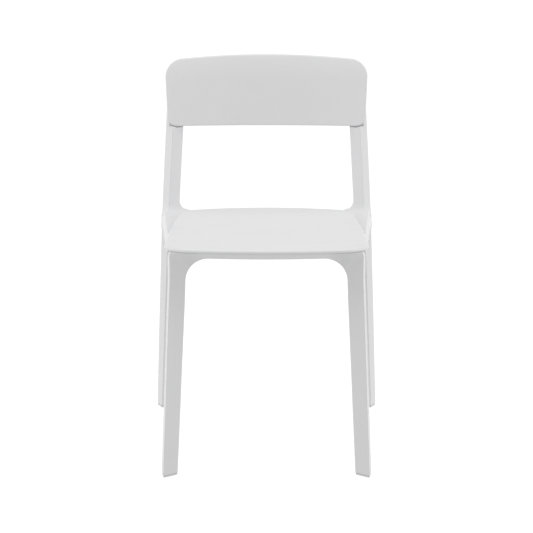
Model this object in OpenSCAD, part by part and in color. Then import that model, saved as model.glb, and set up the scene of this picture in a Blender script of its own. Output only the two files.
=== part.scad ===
// Stacking side chair moulded in white polypropylene: a front leg frame, a rear frame with the
// back posts, two side rails, a seat panel and a curved backrest panel, with their fixings.
// Millimetres. +Z is up, +X is the sitter's left, the chair faces -Y, and the origin is on the
// floor at the centre of the whole chair's footprint.

/* [Overall] */
// Width over the rear feet
overall_w = 492; // [440:1:560]
// Depth from the front feet to the back of the backrest
overall_d = 542; // [500:1:600]
// Height of the backrest's top edge
overall_h = 782; // [720:1:860]
// Height of the seat's rim
seat_h = 455; // [400:1:500]

/* [Seat panel] */
// Width of the seat across its front half
seat_w = 401; // [360:1:440]
// Width of the seat at its rear edge
seat_rear_w = 372; // [320:1:410]
// Depth of the seat panel
seat_d = 403; // [350:1:430]
// Thickness of the seat's sheet
seat_wall = 4.5; // [3:0.1:7]
// How far the rim reaches below the sheet
seat_lip = 2; // [1.5:0.5:8]
// How far the middle of the seat's front edge lies ahead of its corners
seat_bow = 25; // [0:1:30]
// Depth of the dish at the seat's middle
seat_dish = 7; // [0:0.5:14]

/* [Backrest panel] */
// Width of the backrest
back_w = 436; // [380:1:480]
// Height of the backrest at its ends
back_h = 139; // [110:1:190]
// How far the backrest's middle lies behind its ends
back_sweep = 36; // [10:1:60]
// Thickness of the backrest
back_wall = 8; // [6:0.5:12]

/* [Front frame] */
// Width over the front feet
front_foot_w = 417; // [370:1:450]
// How far the seat's side edge overhangs the front legs at seat height
seat_overhang = 9; // [6:0.5:16]
// Width of a front leg at the floor
front_leg_w = 33; // [24:1:40]
// Depth of a front leg, front to back
front_leg_d = 42; // [34:1:54]
// Radius of the corner between a leg and the front apron
apron_r = 46; // [30:1:90]
// Height of the apron's face
apron_h = 15; // [10:0.5:20]

/* [Rear frame] */
// Distance from the front feet's front edge to the rear feet's ridge
foot_spacing_d = 466; // [420:1:520]
// How far a post's outer line lies outside the seat's side edge, at the seat's rear
post_margin = 41.5; // [34:0.5:60]
// How far the backrest's end overhangs the post's outer line
back_overhang = 3; // [0:0.2:12]
// Width of a rear leg at the floor
rear_leg_w = 33; // [26:1:40]
// Depth of a rear leg, front to back
rear_leg_d = 38; // [32:1:50]
// Radius of the corners where the posts meet the cross rail and the side rails
knee_r = 22; // [8:1:28]
// Height of the side rails and the cross rail
rail_h = 30; // [24:1:40]

/* [Fixings] */
// Shank diameter of the bolts between the rails and the frames
bolt_d = 6; // [5:0.5:8]
// Shank diameter of the screws in the seat and the backrest
screw_d = 4; // [3:0.5:5]
// Diameter of a glide's stem
stem_d = 12; // [9:0.5:14]
// Height of the glide below the foot
glide_h = 4; // [2:0.5:8]
// Running gap between parts that are assembled by hand
gap = 0.3; // [0.1:0.1:0.8]

/* [Hidden] */
$fn = 32;

LEFT = 1;
RIGHT = -1;
front_y = -overall_d / 2;

// Levels that the frame, the rails and the seat share.
rim_h = seat_wall + seat_lip;
ledge_z = seat_h - rim_h;
rail_bottom_z = ledge_z - rail_h;
apron_top_z = ledge_z - gap;
apron_bottom_z = apron_top_z - apron_h;

// The front legs lean back by this share of their height.
front_lean = 0.115;
front_top_y = front_y + front_lean * seat_h;

// Seat panel, whose front corners stand over the tops of the front legs.
seat_front_r = 46;
seat_rear_r = 14;
front_top_w = seat_w - 2 * seat_overhang;
// How far the seat's front edge lies behind its middle at x: a bow, and the corner's arc.
function seat_front_set(x) =
    let (arc = min(seat_front_r, max(0, abs(x) - seat_w / 2 + seat_front_r)))
    seat_bow * pow(x / (seat_w / 2), 2) + seat_front_r - sqrt(pow(seat_front_r, 2) - arc * arc);
seat_front_y = front_top_y - seat_front_set(front_top_w / 2);
seat_rear_y = seat_front_y + seat_d;
seat_mid_y = (seat_front_y + seat_rear_y) / 2;

// Side rails: their two joints and the slope of their outer line.
front_joint_y = front_top_y + front_leg_d + 6;
rear_joint_y = seat_rear_y - 14;
rail_front_x = front_top_w / 2 + 5;
knee_y = seat_rear_y + 20;

// Backrest, whose upper rear edge sets the chair's full depth.
back_arch = 9.5;
back_droop = 2.5;
back_corner_r = 33;
back_top_z = overall_h - back_arch;
back_bottom_z = back_top_z - back_h;
back_mid_z = (back_top_z + back_bottom_z) / 2;
back_screw_x = back_w / 2 - 21;
back_roll = 5.5;
// How far the rounded top edge stays inside the full thickness.
back_edge_ease = 1.7;

// The posts lean so that they meet the backrest: their ridge would stand post_bite in front of
// its face at mid height. The backrest leans a little more than they do.
bend_z = seat_h - 5;
post_bite = 5.2;
extra_lean = 0.02;
back_limit_y = overall_d / 2 - back_wall - back_sweep - back_roll + back_edge_ease;
back_rise = overall_h - back_mid_z;
post_lean = (back_limit_y + back_sweep * (1 - pow(back_screw_x / (back_w / 2), 2))
    - post_bite - knee_y - extra_lean * back_rise) / (back_mid_z - bend_z + back_rise);
back_lean = post_lean + extra_lean;
back_end_y = back_limit_y - back_lean * (back_h + back_arch);

// ---------- Curves and lofts ----------

function mix(a, b, t) = a + (b - a) * t;
function clamp(t) = min(1, max(0, t));
function ease(t) = let (c = clamp(t)) c * c * (3 - 2 * c);

// The point at a given distance from corner q towards p, at most half of the way.
function towards(q, p, r) = q + (p - q) * min(r / norm(p - q), 0.46);

// A closed ring from corner points, each rounded by a curve that starts r before it.
function rounded(corners, radii, steps = 2) =
    let (n = len(corners))
    [for (i = [0:n - 1])
        let (q = corners[i],
             a = towards(q, corners[(i + n - 1) % n], radii[i]),
             b = towards(q, corners[(i + 1) % n], radii[i]))
        for (k = [0:steps])
            let (t = k / steps)
            a * (1 - t) * (1 - t) + q * 2 * t * (1 - t) + b * t * t];

// Six times the volume that a closed surface holds: negative if its faces are listed inside out.
function signed_volume(points, faces) =
    let (parts = [for (f = faces, k = [1:len(f) - 2])
        points[f[0]] * cross(points[f[k]], points[f[k + 1]])])
    parts * [for (p = parts) 1];
function reversed(list) = [for (i = [len(list) - 1:-1:0]) list[i]];

// A closed solid through rings that all have the same number of points.
module loft(rings) {
    n = len(rings[0]);
    m = len(rings);
    points = [for (ring = rings) each ring];
    faces = concat(
        [[for (i = [0:n - 1]) i]],
        [[for (i = [0:n - 1]) (m - 1) * n + n - 1 - i]],
        [for (j = [0:m - 2], i = [0:n - 1])
            [j * n + i, (j + 1) * n + i, (j + 1) * n + (i + 1) % n]],
        [for (j = [0:m - 2], i = [0:n - 1])
            [j * n + i, (j + 1) * n + (i + 1) % n, j * n + (i + 1) % n]]
    );
    // Faces are listed clockwise from outside.
    polyhedron(
        points = points,
        faces = signed_volume(points, faces) < 0 ? faces : [for (f = faces) reversed(f)],
        convexity = 8
    );
}

// A part drawn for the sitter's left, put on the side asked for.
module on_side(side) {
    if (side == LEFT) children();
    else mirror([1, 0, 0]) children();
}

// ---------- Front frame ----------

ridge_set = 5;
function front_outer_x(z) = mix(front_foot_w / 2, front_top_w / 2, z / seat_h);
function front_inner_x(z) = front_outer_x(z) - front_leg_w - 0.01 * z;
function front_ridge_y(z) = front_y + front_lean * z;

arc_z = apron_bottom_z - apron_r;
arc_x = front_inner_x(arc_z) - apron_r;

// Where a ray at angle a from the corner arc's centre meets the frame's squarish outer corner.
function outer_reach(a) =
    let (w = front_outer_x(arc_z) - arc_x, h = apron_top_z - arc_z, power = 12)
    1 / pow(pow(cos(a) / w, power) + pow(sin(a) / h, power), 1 / power);

// How far the apron comes forward at x and z, to follow the seat's front edge.
function apron_bow(x, z) =
    (seat_front_set(front_top_w / 2) - seat_front_set(min(abs(x), front_top_w / 2)))
    * ease((z - arc_z + 60) / (apron_r + 60));

// One ring of the frame between an outer and an inner point of its front view. The section has
// a crisp front ridge near the outside, a face that falls back to the inner edge, and a back.
// "turn" is 0 on a leg and 1 on the apron.
function frame_ring(outer, inner, turn) =
    let (wide = norm(inner - outer),
         dir = (inner - outer) / wide,
         y = front_ridge_y(outer[1]) + 5 * turn,
         set = mix(ridge_set, 0.6, ease((turn - 0.2) / 0.25)),
         deep = front_leg_d,
         corners = [
             [0, mix(22, 10, turn)], [set, 0], [wide, 20],
             [wide - mix(9, 1, turn), deep], [mix(6, 1, turn), deep]
         ])
    [for (p = rounded(corners, [4, 1.5, 3, 7, 7]))
        let (x = outer[0] + dir[0] * p[0], z = outer[1] + dir[1] * p[0])
        [x, y + p[1] - apron_bow(x, z), z]];

front_leg_rings = [for (k = [0:6])
    let (z = mix(glide_h, arc_z, k / 7))
    frame_ring([front_outer_x(z), z], [front_inner_x(z), z], 0)];
front_corner_rings = [for (a = [0:7.5:90])
    let (reach = outer_reach(a))
    frame_ring([arc_x + reach * cos(a), arc_z + reach * sin(a)],
               [arc_x + apron_r * cos(a), arc_z + apron_r * sin(a)], ease(a / 90))];
front_apron_rings = [for (x = [arc_x * 2 / 3, arc_x / 3])
    frame_ring([x, apron_top_z], [x, apron_bottom_z], 1)];
front_half = concat(front_leg_rings, front_corner_rings, front_apron_rings);
front_middle = [frame_ring([0, apron_top_z], [0, apron_bottom_z], 1)];

function mirrored(ring) = [for (p = ring) [-p[0], p[1], p[2]]];

// Height at which the gas channels of the legs start, inside the reach of the glides' stems.
channel_z = 30;
// A slice of a leg's gas channel: the leg's own section, shrunk about its centre.
function channel(ring, share) =
    let (c = [for (k = [0:2]) [for (p = ring) p[k]]],
         mid = [for (k = [0:2]) (min(c[k]) + max(c[k])) / 2])
    [for (p = ring) mid + (p - mid) * share];

module channel_hulls(rings, share = 0.62) {
    for (i = [0:len(rings) - 2])
        hull() {
            for (k = [0:1])
                let (ring = channel(rings[i + k], share))
                translate([0, 0, ring[0][2]])
                    linear_extrude(0.2) polygon([for (p = ring) [p[0], p[1]]]);
        }
}

// Centre of the front glide's stem, and of the rear glide's.
function ring_middle(ring) = let (n = len(ring), s = [for (k = [1:n]) 1] * ring) s / n;
front_stem = ring_middle(front_leg_rings[0]);

// Bolts of a joint sit side by side across the rail.
bolt_pitch = bolt_d * 2;
function rail_bolt_x(y) = rail_outer_x(y) - 16.4;
joint_z = rail_bottom_z + rail_h * 0.46;
insert_d = bolt_d + 2.4;
insert_l = 12;

// Places one child at each of a joint's two bolts, on the joint's plane, pointing along +Y.
module at_joint_bolts(y) {
    for (s = [-1, 1])
        translate([rail_bolt_x(y) + s * bolt_pitch / 2, y, joint_z])
            rotate([-90, 0, 0]) children();
}

module front_frame() {
    color("white") difference() {
        union() {
            loft(concat(front_half, front_middle,
                [for (i = [len(front_half) - 1:-1:0]) mirrored(front_half[i])]));
            for (side = [LEFT, RIGHT])
                on_side(side) front_shoulder();
        }
        for (side = [LEFT, RIGHT])
            on_side(side) {
                channel_hulls([for (z = steps(channel_z, arc_z - 56, 5))
                    frame_ring([front_outer_x(z), z], [front_inner_x(z), z], 0)]);
                translate([front_stem[0], front_stem[1], -1])
                    cylinder(d = stem_d + gap, h = 40);
                at_joint_bolts(front_joint_y)
                    translate([0, 0, -insert_l - 6]) cylinder(d = insert_d + 0.1, h = 30);
            }
    }
}

// Block behind the frame's top corner that the side rail bolts up to.
module front_shoulder() {
    inner = rail_inner_x(front_joint_y) + 1;
    outer = rail_outer_x(front_joint_y) - 2;
    hull() {
        for (x = [inner, outer - 6], z = [rail_bottom_z + 2, ledge_z - 7])
            translate([x, front_joint_y - 6, z]) cube([6, 6, 5]);
        translate([inner - 2, front_joint_y - 20, rail_bottom_z + 6])
            cube([outer - inner - 4, 12, rail_h - 16]);
    }
}

// ---------- Side rails ----------

// The ledge that a rail keeps under the seat's rim at the front and at the rear.
ledge_front_w = 36;
ledge_rear_w = 10;
function rail_slope() = (rear_outer_x(ledge_z) - rail_front_x) / (knee_y - front_joint_y);
function rail_outer_x(y) = rail_front_x + rail_slope() * (y - front_joint_y);
function rail_inner_x(y) = mix(seat_w / 2 - ledge_front_w, seat_rear_w / 2 - ledge_rear_w,
    (y - front_joint_y) / (rear_joint_y - front_joint_y));
function rail_ridge_set(y) = mix(4, 7, (y - front_joint_y) / (knee_y - front_joint_y));
// The ridge rises to the seat's level as it moves out from under the seat's edge.
function rail_ridge_z(y) = ledge_z - 1.5
    + (rim_h - 1) * ease((rail_outer_x(y) - rail_ridge_set(y) - seat_half_w(y) + 6) / 29);

// The valley beside the seat, which rises to the cross rail behind the seat's rear edge.
function rail_valley_z(y) = ledge_z - 0.8 + 4.3 * ease((y - seat_rear_y - 1) / 14);

// A rail's section at y: bevelled outside, a ridge, a valley beside the seat, and the ledge.
function rail_ring(y) =
    let (xo = rail_outer_x(y), xi = rail_inner_x(y), xr = xo - rail_ridge_set(y),
         zr = rail_ridge_z(y), valley = min(zr - 0.5, rail_valley_z(y)))
    [for (p = rounded(
        [[xo - 2, rail_bottom_z], [xo, zr - 14], [xr, zr], [min(xr - 8, seat_half_w(y) + 1.5), valley],
         [xi, valley], [xi + 2, rail_bottom_z]],
        [4, 4, 1.5, 3, 3, 3]))
        [p[0], y, p[1]]];

seat_screw_ys = [front_joint_y + 60, rear_joint_y - 60];
function seat_screw_x(y) = rail_inner_x(y) - 12;
tab_z = rail_bottom_z + 8;
tab_t = 5;

module side_rail() {
    wall = 3.2;
    end_wall = 11;
    steps = 12;
    ys = [for (i = [0:steps]) mix(front_joint_y, rear_joint_y, i / steps)];
    difference() {
        union() {
            loft([for (y = ys) rail_ring(y)]);
            for (y = seat_screw_ys)
                hull() {
                    translate([seat_screw_x(y), y, tab_z]) cylinder(r = 10, h = tab_t);
                    translate([rail_inner_x(y) + 2, y - 17, tab_z]) cube([5, 34, tab_t]);
                }
        }
        // The channel underneath, between the two end walls.
        hull() {
            for (y = [front_joint_y + end_wall, rear_joint_y - end_wall])
                translate([rail_inner_x(y) + wall, y - 1, rail_bottom_z - 1])
                    cube([rail_outer_x(y) - rail_inner_x(y) - 2 * wall - 1, 2, rail_h - wall]);
        }
        for (y = seat_screw_ys)
            translate([seat_screw_x(y), y, tab_z - 1]) cylinder(d = screw_d + gap, h = tab_t + 2);
        at_joint_bolts(front_joint_y)
            translate([0, 0, -1]) cylinder(d = bolt_d + gap, h = end_wall + 2);
        at_joint_bolts(rear_joint_y)
            translate([0, 0, -end_wall - 1]) cylinder(d = bolt_d + gap, h = end_wall + 2);
    }
}

module left_side_rail() { color("white") on_side(LEFT) side_rail(); }
module right_side_rail() { color("white") on_side(RIGHT) side_rail(); }

// ---------- Rear frame ----------

rear_foot_y = front_y + foot_spacing_d;

// The value at z of the parabola through three given heights and values.
function through(z, zs, vs) =
    vs[0] * (z - zs[1]) * (z - zs[2]) / ((zs[0] - zs[1]) * (zs[0] - zs[2]))
    + vs[1] * (z - zs[0]) * (z - zs[2]) / ((zs[1] - zs[0]) * (zs[1] - zs[2]))
    + vs[2] * (z - zs[0]) * (z - zs[1]) / ((zs[2] - zs[0]) * (zs[2] - zs[1]));

// A post's outer line in front view: over the foot, beside the seat and behind the backrest.
function rear_outer_x(z) = through(z, [0, ledge_z, back_mid_z],
    [overall_w / 2, seat_rear_w / 2 + post_margin, back_w / 2 - back_overhang]);
// How far the ridge lies inside the outer line at z, from its width at the foot.
ridge_set_foot = 12;
function rear_ridge_x(z) = rear_outer_x(z) - ridge_set_foot - 0.0125 * z + 7.5e-6 * z * z;
function rear_inner_x(z) =
    rear_ridge_x(z) - (rear_leg_w - ridge_set_foot) - 1.5 * clamp(z / bend_z);

// The ridge in side view: down the leg it runs back, up the post it leans back.
function rear_ridge_y(z) =
    let (leg = (knee_y - rear_foot_y) / bend_z)
    z < bend_z ? rear_foot_y + leg * z : knee_y + post_lean * (z - bend_z);

// Fillet beside a rail between z0 and z1: how far a leg swells at height z.
function swell(z, z0, z1, r) =
    z >= z0 && z <= z1 ? r :
    let (d = min(r, z > z1 ? z - z1 : z0 - z)) r - sqrt(r * r - (r - d) * (r - d));

post_top_z = back_top_z - 30;
function rear_ring(z) =
    let (xo = rear_outer_x(z), xr = rear_ridge_x(z), xi = rear_inner_x(z),
         y = rear_ridge_y(z),
         ahead = swell(z, rail_bottom_z, ledge_z - 0.8, knee_r),
         beside = swell(z, rail_bottom_z, ledge_z + 5, knee_r),
         thin = ease((z - back_bottom_z) / (post_top_z - back_bottom_z)),
         deep = rear_leg_d - 6 * clamp(z / back_top_z) - 6 * thin)
    [for (p = rounded(
        [[xr, y - ahead], [xo, y + mix(23, 15, clamp(z / back_bottom_z)) - ahead * 0.9],
         [xo - 6, y + deep], [xi + 8 - beside, y + deep],
         [xi - beside, y + 17 - ahead * 0.5]],
        [1.5, 4, 7, 7, 3]))
        [p[0], p[1], z]];

function steps(a, b, n) = [for (i = [0:n]) mix(a, b, i / n)];
post_start_z = ledge_z + 5 + knee_r;
rear_zs = concat(
    [for (k = [0:5]) mix(glide_h, rail_bottom_z - knee_r, k / 6)],
    steps(rail_bottom_z - knee_r, rail_bottom_z, 5),
    [ledge_z - 0.8, ledge_z - 0.2, ledge_z + 1, ledge_z + 3],
    steps(ledge_z + 5, post_start_z, 5),
    [for (k = [1:3]) mix(post_start_z, back_bottom_z, k / 4)],
    steps(back_bottom_z, post_top_z, 4));

// The cross rail: its rear top edge bows back and up to the middle.
cross_half = rear_inner_x(ledge_z) + 8;
function cross_ring(x) =
    let (bow = 1 - pow(x / (cross_half - 14), 2),
         yt = seat_rear_y + 36.5 + 20 * bow, zt = seat_h - 2.2 + 3 * bow,
         yf = seat_rear_y + 1 + 13 * ease((abs(x) - seat_rear_w / 2 + 12) / 14))
    [for (p = rounded(
        [[yf, ledge_z + 3.5], [yt, zt], [yt - 5, rail_bottom_z + 2],
         [yt - 18, rail_bottom_z], [yf + 6, rail_bottom_z + 8], [yf, ledge_z - 6]],
        [2, 4, 5, 5, 4, 3]))
        [x, p[0], p[1]]];

rear_stem = ring_middle(rear_ring(glide_h));

// Screws of the backrest on each post, and the plane that their heads bear on.
back_screw_zs = [back_bottom_z + 36, back_bottom_z + 86];
cap_d = 10;
cap_t = 3;
function post_back_y(z) = max([for (p = rear_ring(z)) p[1]]);
function screw_seat_y(z) = post_back_y(z) - 8;

module at_back_screws() {
    for (z = back_screw_zs)
        translate([back_screw_x, screw_seat_y(z), z])
            rotate([-90, 0, 0]) children();
}

module rear_frame() {
    color("white") difference() {
        union() {
            loft([for (i = [0:24]) cross_ring(mix(-cross_half, cross_half, i / 24))]);
            for (side = [LEFT, RIGHT])
                on_side(side) {
                    loft([for (z = rear_zs) rear_ring(z)]);
                    // The stub that carries on into the side rail.
                    loft([for (y = steps(rear_joint_y, knee_y + 8, 4)) rail_ring(y)]);
                }
        }
        back_envelope(gap);
        for (side = [LEFT, RIGHT])
            on_side(side) {
                channel_hulls([for (z = steps(channel_z, back_bottom_z - 34, 8))
                    rear_core(z)]);
                translate([rear_stem[0], rear_stem[1], -1])
                    cylinder(d = stem_d + gap, h = 40);
                at_joint_bolts(rear_joint_y)
                    translate([0, 0, -1]) cylinder(d = insert_d + 0.1, h = insert_l + 3);
                at_back_screws() {
                    translate([0, 0, -40]) cylinder(d = screw_d + gap, h = 41);
                    cylinder(d = cap_d + gap, h = 20);
                }
            }
    }
}

// A rear leg's section without the fillets beside the rails.
function rear_core(z) =
    let (y = rear_ridge_y(z), deep = rear_leg_d - 6)
    [for (p = rounded(
        [[rear_ridge_x(z), y], [rear_outer_x(z), y + 20], [rear_outer_x(z) - 6, y + deep],
         [rear_inner_x(z) + 8, y + deep], [rear_inner_x(z), y + 17]],
        [1.5, 4, 7, 7, 3]))
        [p[0], p[1], z]];

// ---------- Backrest ----------

// The backrest's outline, moved in by an inset, with its arched top and drooping lower edge.
function back_outline(inset, per_side = 10) =
    let (hw = back_w / 2 - inset, low = back_w / 2 - 4 - inset,
         zt = back_top_z - inset, zb = back_bottom_z + inset,
         rt = max(back_corner_r - inset, 4), rb = max(20 - inset, 4),
         square_ring = concat(
             corner_arc([hw - rt, zt - rt], rt, 0),
             [for (i = [1:per_side - 1]) [mix(hw - rt, rt - hw, i / per_side), zt]],
             corner_arc([rt - hw, zt - rt], rt, 90),
             corner_arc([rb - low, zb + rb], rb, 180),
             [for (i = [1:per_side - 1]) [mix(rb - low, low - rb, i / per_side), zb]],
             corner_arc([low - rb, zb + rb], rb, 270)))
    [for (p = square_ring)
        let (bow = 1 - pow(p[0] / (back_w / 2), 2), up = (p[1] - back_mid_z) / (back_h / 2))
        [p[0], p[1] + bow * (up > 0 ? back_arch : back_droop) * up]];
function corner_arc(c, r, start, n = 6) =
    [for (i = [0:n]) c + r * [cos(start + 90 * i / n), sin(start + 90 * i / n)]];

// How far back the front face lies at a point of the outline's plane.
function back_face_y(x, z) =
    back_end_y + back_lean * (z - back_bottom_z)
    + back_sweep * (1 - pow(x / (back_w / 2), 2))
    + back_roll * pow(clamp((z - back_top_z + 40) / (40 + back_arch)), 2);

function back_ring(inset, set_back) =
    [for (p = back_outline(inset)) [p[0], back_face_y(p[0], p[1]) + set_back, p[1]]];
// A ring inside the outline, drawn in towards the middle by a share.
function back_inner_ring(share, set_back) =
    [for (p = back_outline(6))
        let (x = p[0] * share, z = back_mid_z + (p[1] - back_mid_z) * share)
        [x, back_face_y(x, z) + set_back, z]];

module backrest_shell() {
    edge = 2.5;
    edge_rings = [for (a = [0:30:180])
        back_ring(edge * (1 - sin(a)), mix(0, back_wall - 1, (1 - cos(a)) / 2))];
    inner_shares = [0.04, 0.3, 0.55, 0.8, 0.97];
    color("white") difference() {
        loft(concat(
            [for (s = inner_shares) back_inner_ring(s, 0)],
            edge_rings,
            [for (i = [len(inner_shares) - 1:-1:0]) back_inner_ring(inner_shares[i], back_wall)]));
        for (side = [LEFT, RIGHT])
            on_side(side) for (z = back_screw_zs)
                hull() {
                    for (t = [0, 1])
                        translate([back_screw_x, back_face_y(back_screw_x, z) + 2.5 + 20 * t, z])
                            rotate([-90, 0, 0]) cylinder(d = screw_d + 0.1, h = 1);
                }
    }
}

// Everything in front of the backrest's rear face and a little beyond its outline.
module back_envelope(clear) {
    front = back_end_y - 85;
    top = overall_h + 5;
    rings = [for (i = [0:24])
        let (x = mix(-back_w / 2 - 6, back_w / 2 + 6, i / 24),
             low = back_bottom_z - clear - (abs(x) < back_w / 2 - 18 ? 3 : 0))
        concat(
            [for (z = steps(low, top, 8)) [x, back_face_y(x, z) + back_wall + clear, z]],
            [[x, front, top], [x, front, low]])];
    loft(rings);
}

// ---------- Seat ----------

// Half of the seat's width at y: it narrows faster and faster towards the rear.
function seat_half_w(y) =
    let (t = clamp((seat_rear_y - seat_rear_r - y) / (seat_d - seat_front_r - seat_rear_r)))
    mix(seat_rear_w / 2, seat_w / 2, 1 - (1 - t) * (1 - t));
// A point of the seat's plan, moved back by the bow of the front edge, which fades to the middle.
function bowed(p) =
    [p[0], p[1] + seat_bow * pow(p[0] / (seat_w / 2), 2) * (1 - ease((p[1] - seat_front_y) / (seat_d / 2)))];
function seat_outline(inset, per_side = 10) = [for (p = seat_square(inset, per_side)) bowed(p)];
function seat_square(inset, per_side) =
    let (wf = seat_w / 2 - inset, wr = seat_rear_w / 2 - inset,
         yf = seat_front_y + inset, yr = seat_rear_y - inset,
         rf = max(seat_front_r - inset, 5), rr = max(seat_rear_r - inset, 3))
    concat(
        [for (p = corner_arc([wr - rr, yr - rr], rr, 0)) p],
        [for (i = [1:per_side - 1]) [mix(wr - rr, rr - wr, i / per_side), yr]],
        [for (p = corner_arc([rr - wr, yr - rr], rr, 90)) p],
        [for (i = [1:per_side - 1])
            let (t = i / per_side)
            [-mix(wr, wf, 1 - (1 - t) * (1 - t)), mix(yr - rr, yf + rf, t)]],
        [for (p = corner_arc([rf - wf, yf + rf], rf, 180)) p],
        [for (i = [1:per_side - 1]) [mix(rf - wf, wf - rf, i / per_side), yf]],
        [for (p = corner_arc([wf - rf, yf + rf], rf, 270)) p],
        [for (i = [1:per_side - 1])
            let (t = 1 - i / per_side)
            [mix(wr, wf, 1 - (1 - t) * (1 - t)), mix(yr - rr, yf + rf, t)]]);

// Height of the seat's upper face: a shallow dish, a little deeper behind the middle.
function seat_face_z(x, y) =
    let (u = x / seat_half_w(y), v = (y - seat_mid_y) / (seat_d / 2))
    seat_h - seat_dish * clamp(1 - pow(abs(u), 2.4)) * clamp(1 - pow(abs(v - 0.1), 2.2) / 1.2);

function seat_ring(inset, drop) =
    [for (p = seat_outline(inset)) [p[0], p[1], seat_face_z(p[0], p[1]) - drop]];
function seat_inner_ring(share, drop) =
    [for (p = seat_outline(16))
        let (x = p[0] * share, y = seat_mid_y + (p[1] - seat_mid_y) * share)
        [x, y, seat_face_z(x, y) - drop]];

module seat_screw_boss(y) {
    top_z = seat_face_z(seat_screw_x(y), y) - seat_wall / 2;
    translate([seat_screw_x(y), y, tab_z + tab_t]) cylinder(d = 11, h = top_z - tab_z - tab_t);
}

module seat_shell() {
    shares = [0.03, 0.25, 0.5, 0.75, 1];
    edge = 4;
    rim = [for (a = [0:18:90]) [edge * (1 - sin(a)), edge * (1 - cos(a))]];
    rings = concat(
        [for (s = shares) seat_inner_ring(s, 0)],
        [for (r = rim) seat_ring(r[0], r[1])],
        [[for (p = seat_outline(0.6)) [p[0], p[1], ledge_z]],
         [for (p = seat_outline(3.6)) [p[0], p[1], ledge_z]],
         seat_ring(4.4, seat_wall + 1)],
        [for (i = [len(shares) - 1:-1:0]) seat_inner_ring(shares[i], seat_wall)]);
    color("white") difference() {
        union() {
            loft(rings);
            for (x = steps(20 - seat_rib_reach, seat_rib_reach - 20, 4))
                seat_rib([x, seat_front_y + 55], [x, seat_rear_y - 30]);
            for (y = steps(seat_front_y + 85, seat_rear_y - 85, 3))
                seat_rib([-seat_rib_reach, y], [seat_rib_reach, y]);
            for (side = [LEFT, RIGHT], y = seat_screw_ys)
                on_side(side) seat_screw_boss(y);
        }
        for (side = [LEFT, RIGHT], y = seat_screw_ys)
            on_side(side) translate([seat_screw_x(y), y, tab_z])
                cylinder(d = screw_d + 0.1, h = ledge_z - tab_z - 1);
    }
}

// How far the ribs reach to each side, short of the rails' tabs.
seat_rib_reach = min(seat_w / 2 - ledge_front_w, seat_rear_w / 2 - ledge_rear_w) - 24.5;
// A straight stiffening rib under the sheet from one plan point to another.
seat_rib_t = 2.6;
seat_rib_h = 9;
module seat_rib(from, to) {
    along = (to - from) / norm(to - from);
    across = [-along[1], along[0]] * seat_rib_t / 2;
    loft([for (t = [0:0.125:1])
        let (p = mix(from, to, t), z = seat_face_z(p[0], p[1]) - seat_wall / 2)
        [for (q = [[-1, z], [1, z], [1, z - seat_rib_h], [-1, z - seat_rib_h]])
            [p[0] + across[0] * q[0], p[1] + across[1] * q[0], q[1]]]]);
}

// ---------- Glides ----------

// A glide's sole follows the foot's section, drawn in a little, on a round stem.
module glide(ring, stem) {
    share = 0.97;
    sole = [for (p = ring) [stem[0] + (p[0] - stem[0]) * share, stem[1] + (p[1] - stem[1]) * share]];
    linear_extrude(glide_h) polygon(sole);
    translate([stem[0], stem[1], 0]) cylinder(d = stem_d, h = glide_h + 26);
}

module front_left_glide() { color("lightgrey") on_side(LEFT) glide(front_leg_rings[0], front_stem); }
module front_right_glide() { color("lightgrey") on_side(RIGHT) glide(front_leg_rings[0], front_stem); }
module rear_left_glide() { color("lightgrey") on_side(LEFT) glide(rear_ring(glide_h), rear_stem); }
module rear_right_glide() { color("lightgrey") on_side(RIGHT) glide(rear_ring(glide_h), rear_stem); }

// ---------- Stacking pads ----------

pad_d = 10;
pad_h = 4;
module stack_pad(y) {
    translate([rail_bolt_x(y), y, rail_bottom_z - pad_h])
        cylinder(d = pad_d, h = pad_h);
}
front_pad_y = front_joint_y + 5.5;
rear_pad_y = rear_joint_y - 5.5;

module front_left_stack_pad() { color("lightgrey") on_side(LEFT) stack_pad(front_pad_y); }
module front_right_stack_pad() { color("lightgrey") on_side(RIGHT) stack_pad(front_pad_y); }
module rear_left_stack_pad() { color("lightgrey") on_side(LEFT) stack_pad(rear_pad_y); }
module rear_right_stack_pad() { color("lightgrey") on_side(RIGHT) stack_pad(rear_pad_y); }

// ---------- Fixings ----------

module seat_screws() {
    color("silver") for (side = [LEFT, RIGHT], y = seat_screw_ys)
        on_side(side) translate([seat_screw_x(y), y, tab_z]) {
            translate([0, 0, -2.4]) cylinder(d = 8, h = 2.4);
            cylinder(d = screw_d, h = tab_t + 11);
        }
}

module backrest_screws() {
    color("silver") for (side = [LEFT, RIGHT], z = back_screw_zs)
        on_side(side)
            translate([back_screw_x, back_face_y(back_screw_x, z) + 3, z]) rotate([-90, 0, 0]) {
                reach = screw_seat_y(z) - back_face_y(back_screw_x, z) - 3;
                cylinder(d = screw_d, h = reach);
                translate([0, 0, reach]) cylinder(d = 8, h = 2.4);
            }
}

module backrest_screw_caps() {
    color("white") for (side = [LEFT, RIGHT])
        on_side(side) at_back_screws()
            translate([0, 0, 8 - cap_t - 1]) cylinder(d = cap_d, h = cap_t);
}

// A bolt whose head lies inside the rail and whose shank runs into the frame's insert.
module joint_bolt(end_wall = 11) {
    translate([0, 0, end_wall]) cylinder(d = bolt_d * 1.6, h = 3);
    translate([0, 0, -insert_l + 1]) cylinder(d = bolt_d, h = end_wall + insert_l - 1);
}
module joint_insert() {
    difference() {
        cylinder(d = insert_d, h = insert_l);
        translate([0, 0, -1]) cylinder(d = bolt_d + 0.1, h = insert_l + 2);
    }
}

module front_joint_bolts() { at_joint_bolts(front_joint_y) joint_bolt(); }
module rear_joint_bolts() { at_joint_bolts(rear_joint_y) mirror([0, 0, 1]) joint_bolt(); }
module front_joint_inserts() { at_joint_bolts(front_joint_y) mirror([0, 0, 1]) joint_insert(); }
module rear_joint_inserts() { at_joint_bolts(rear_joint_y) joint_insert(); }

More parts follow.
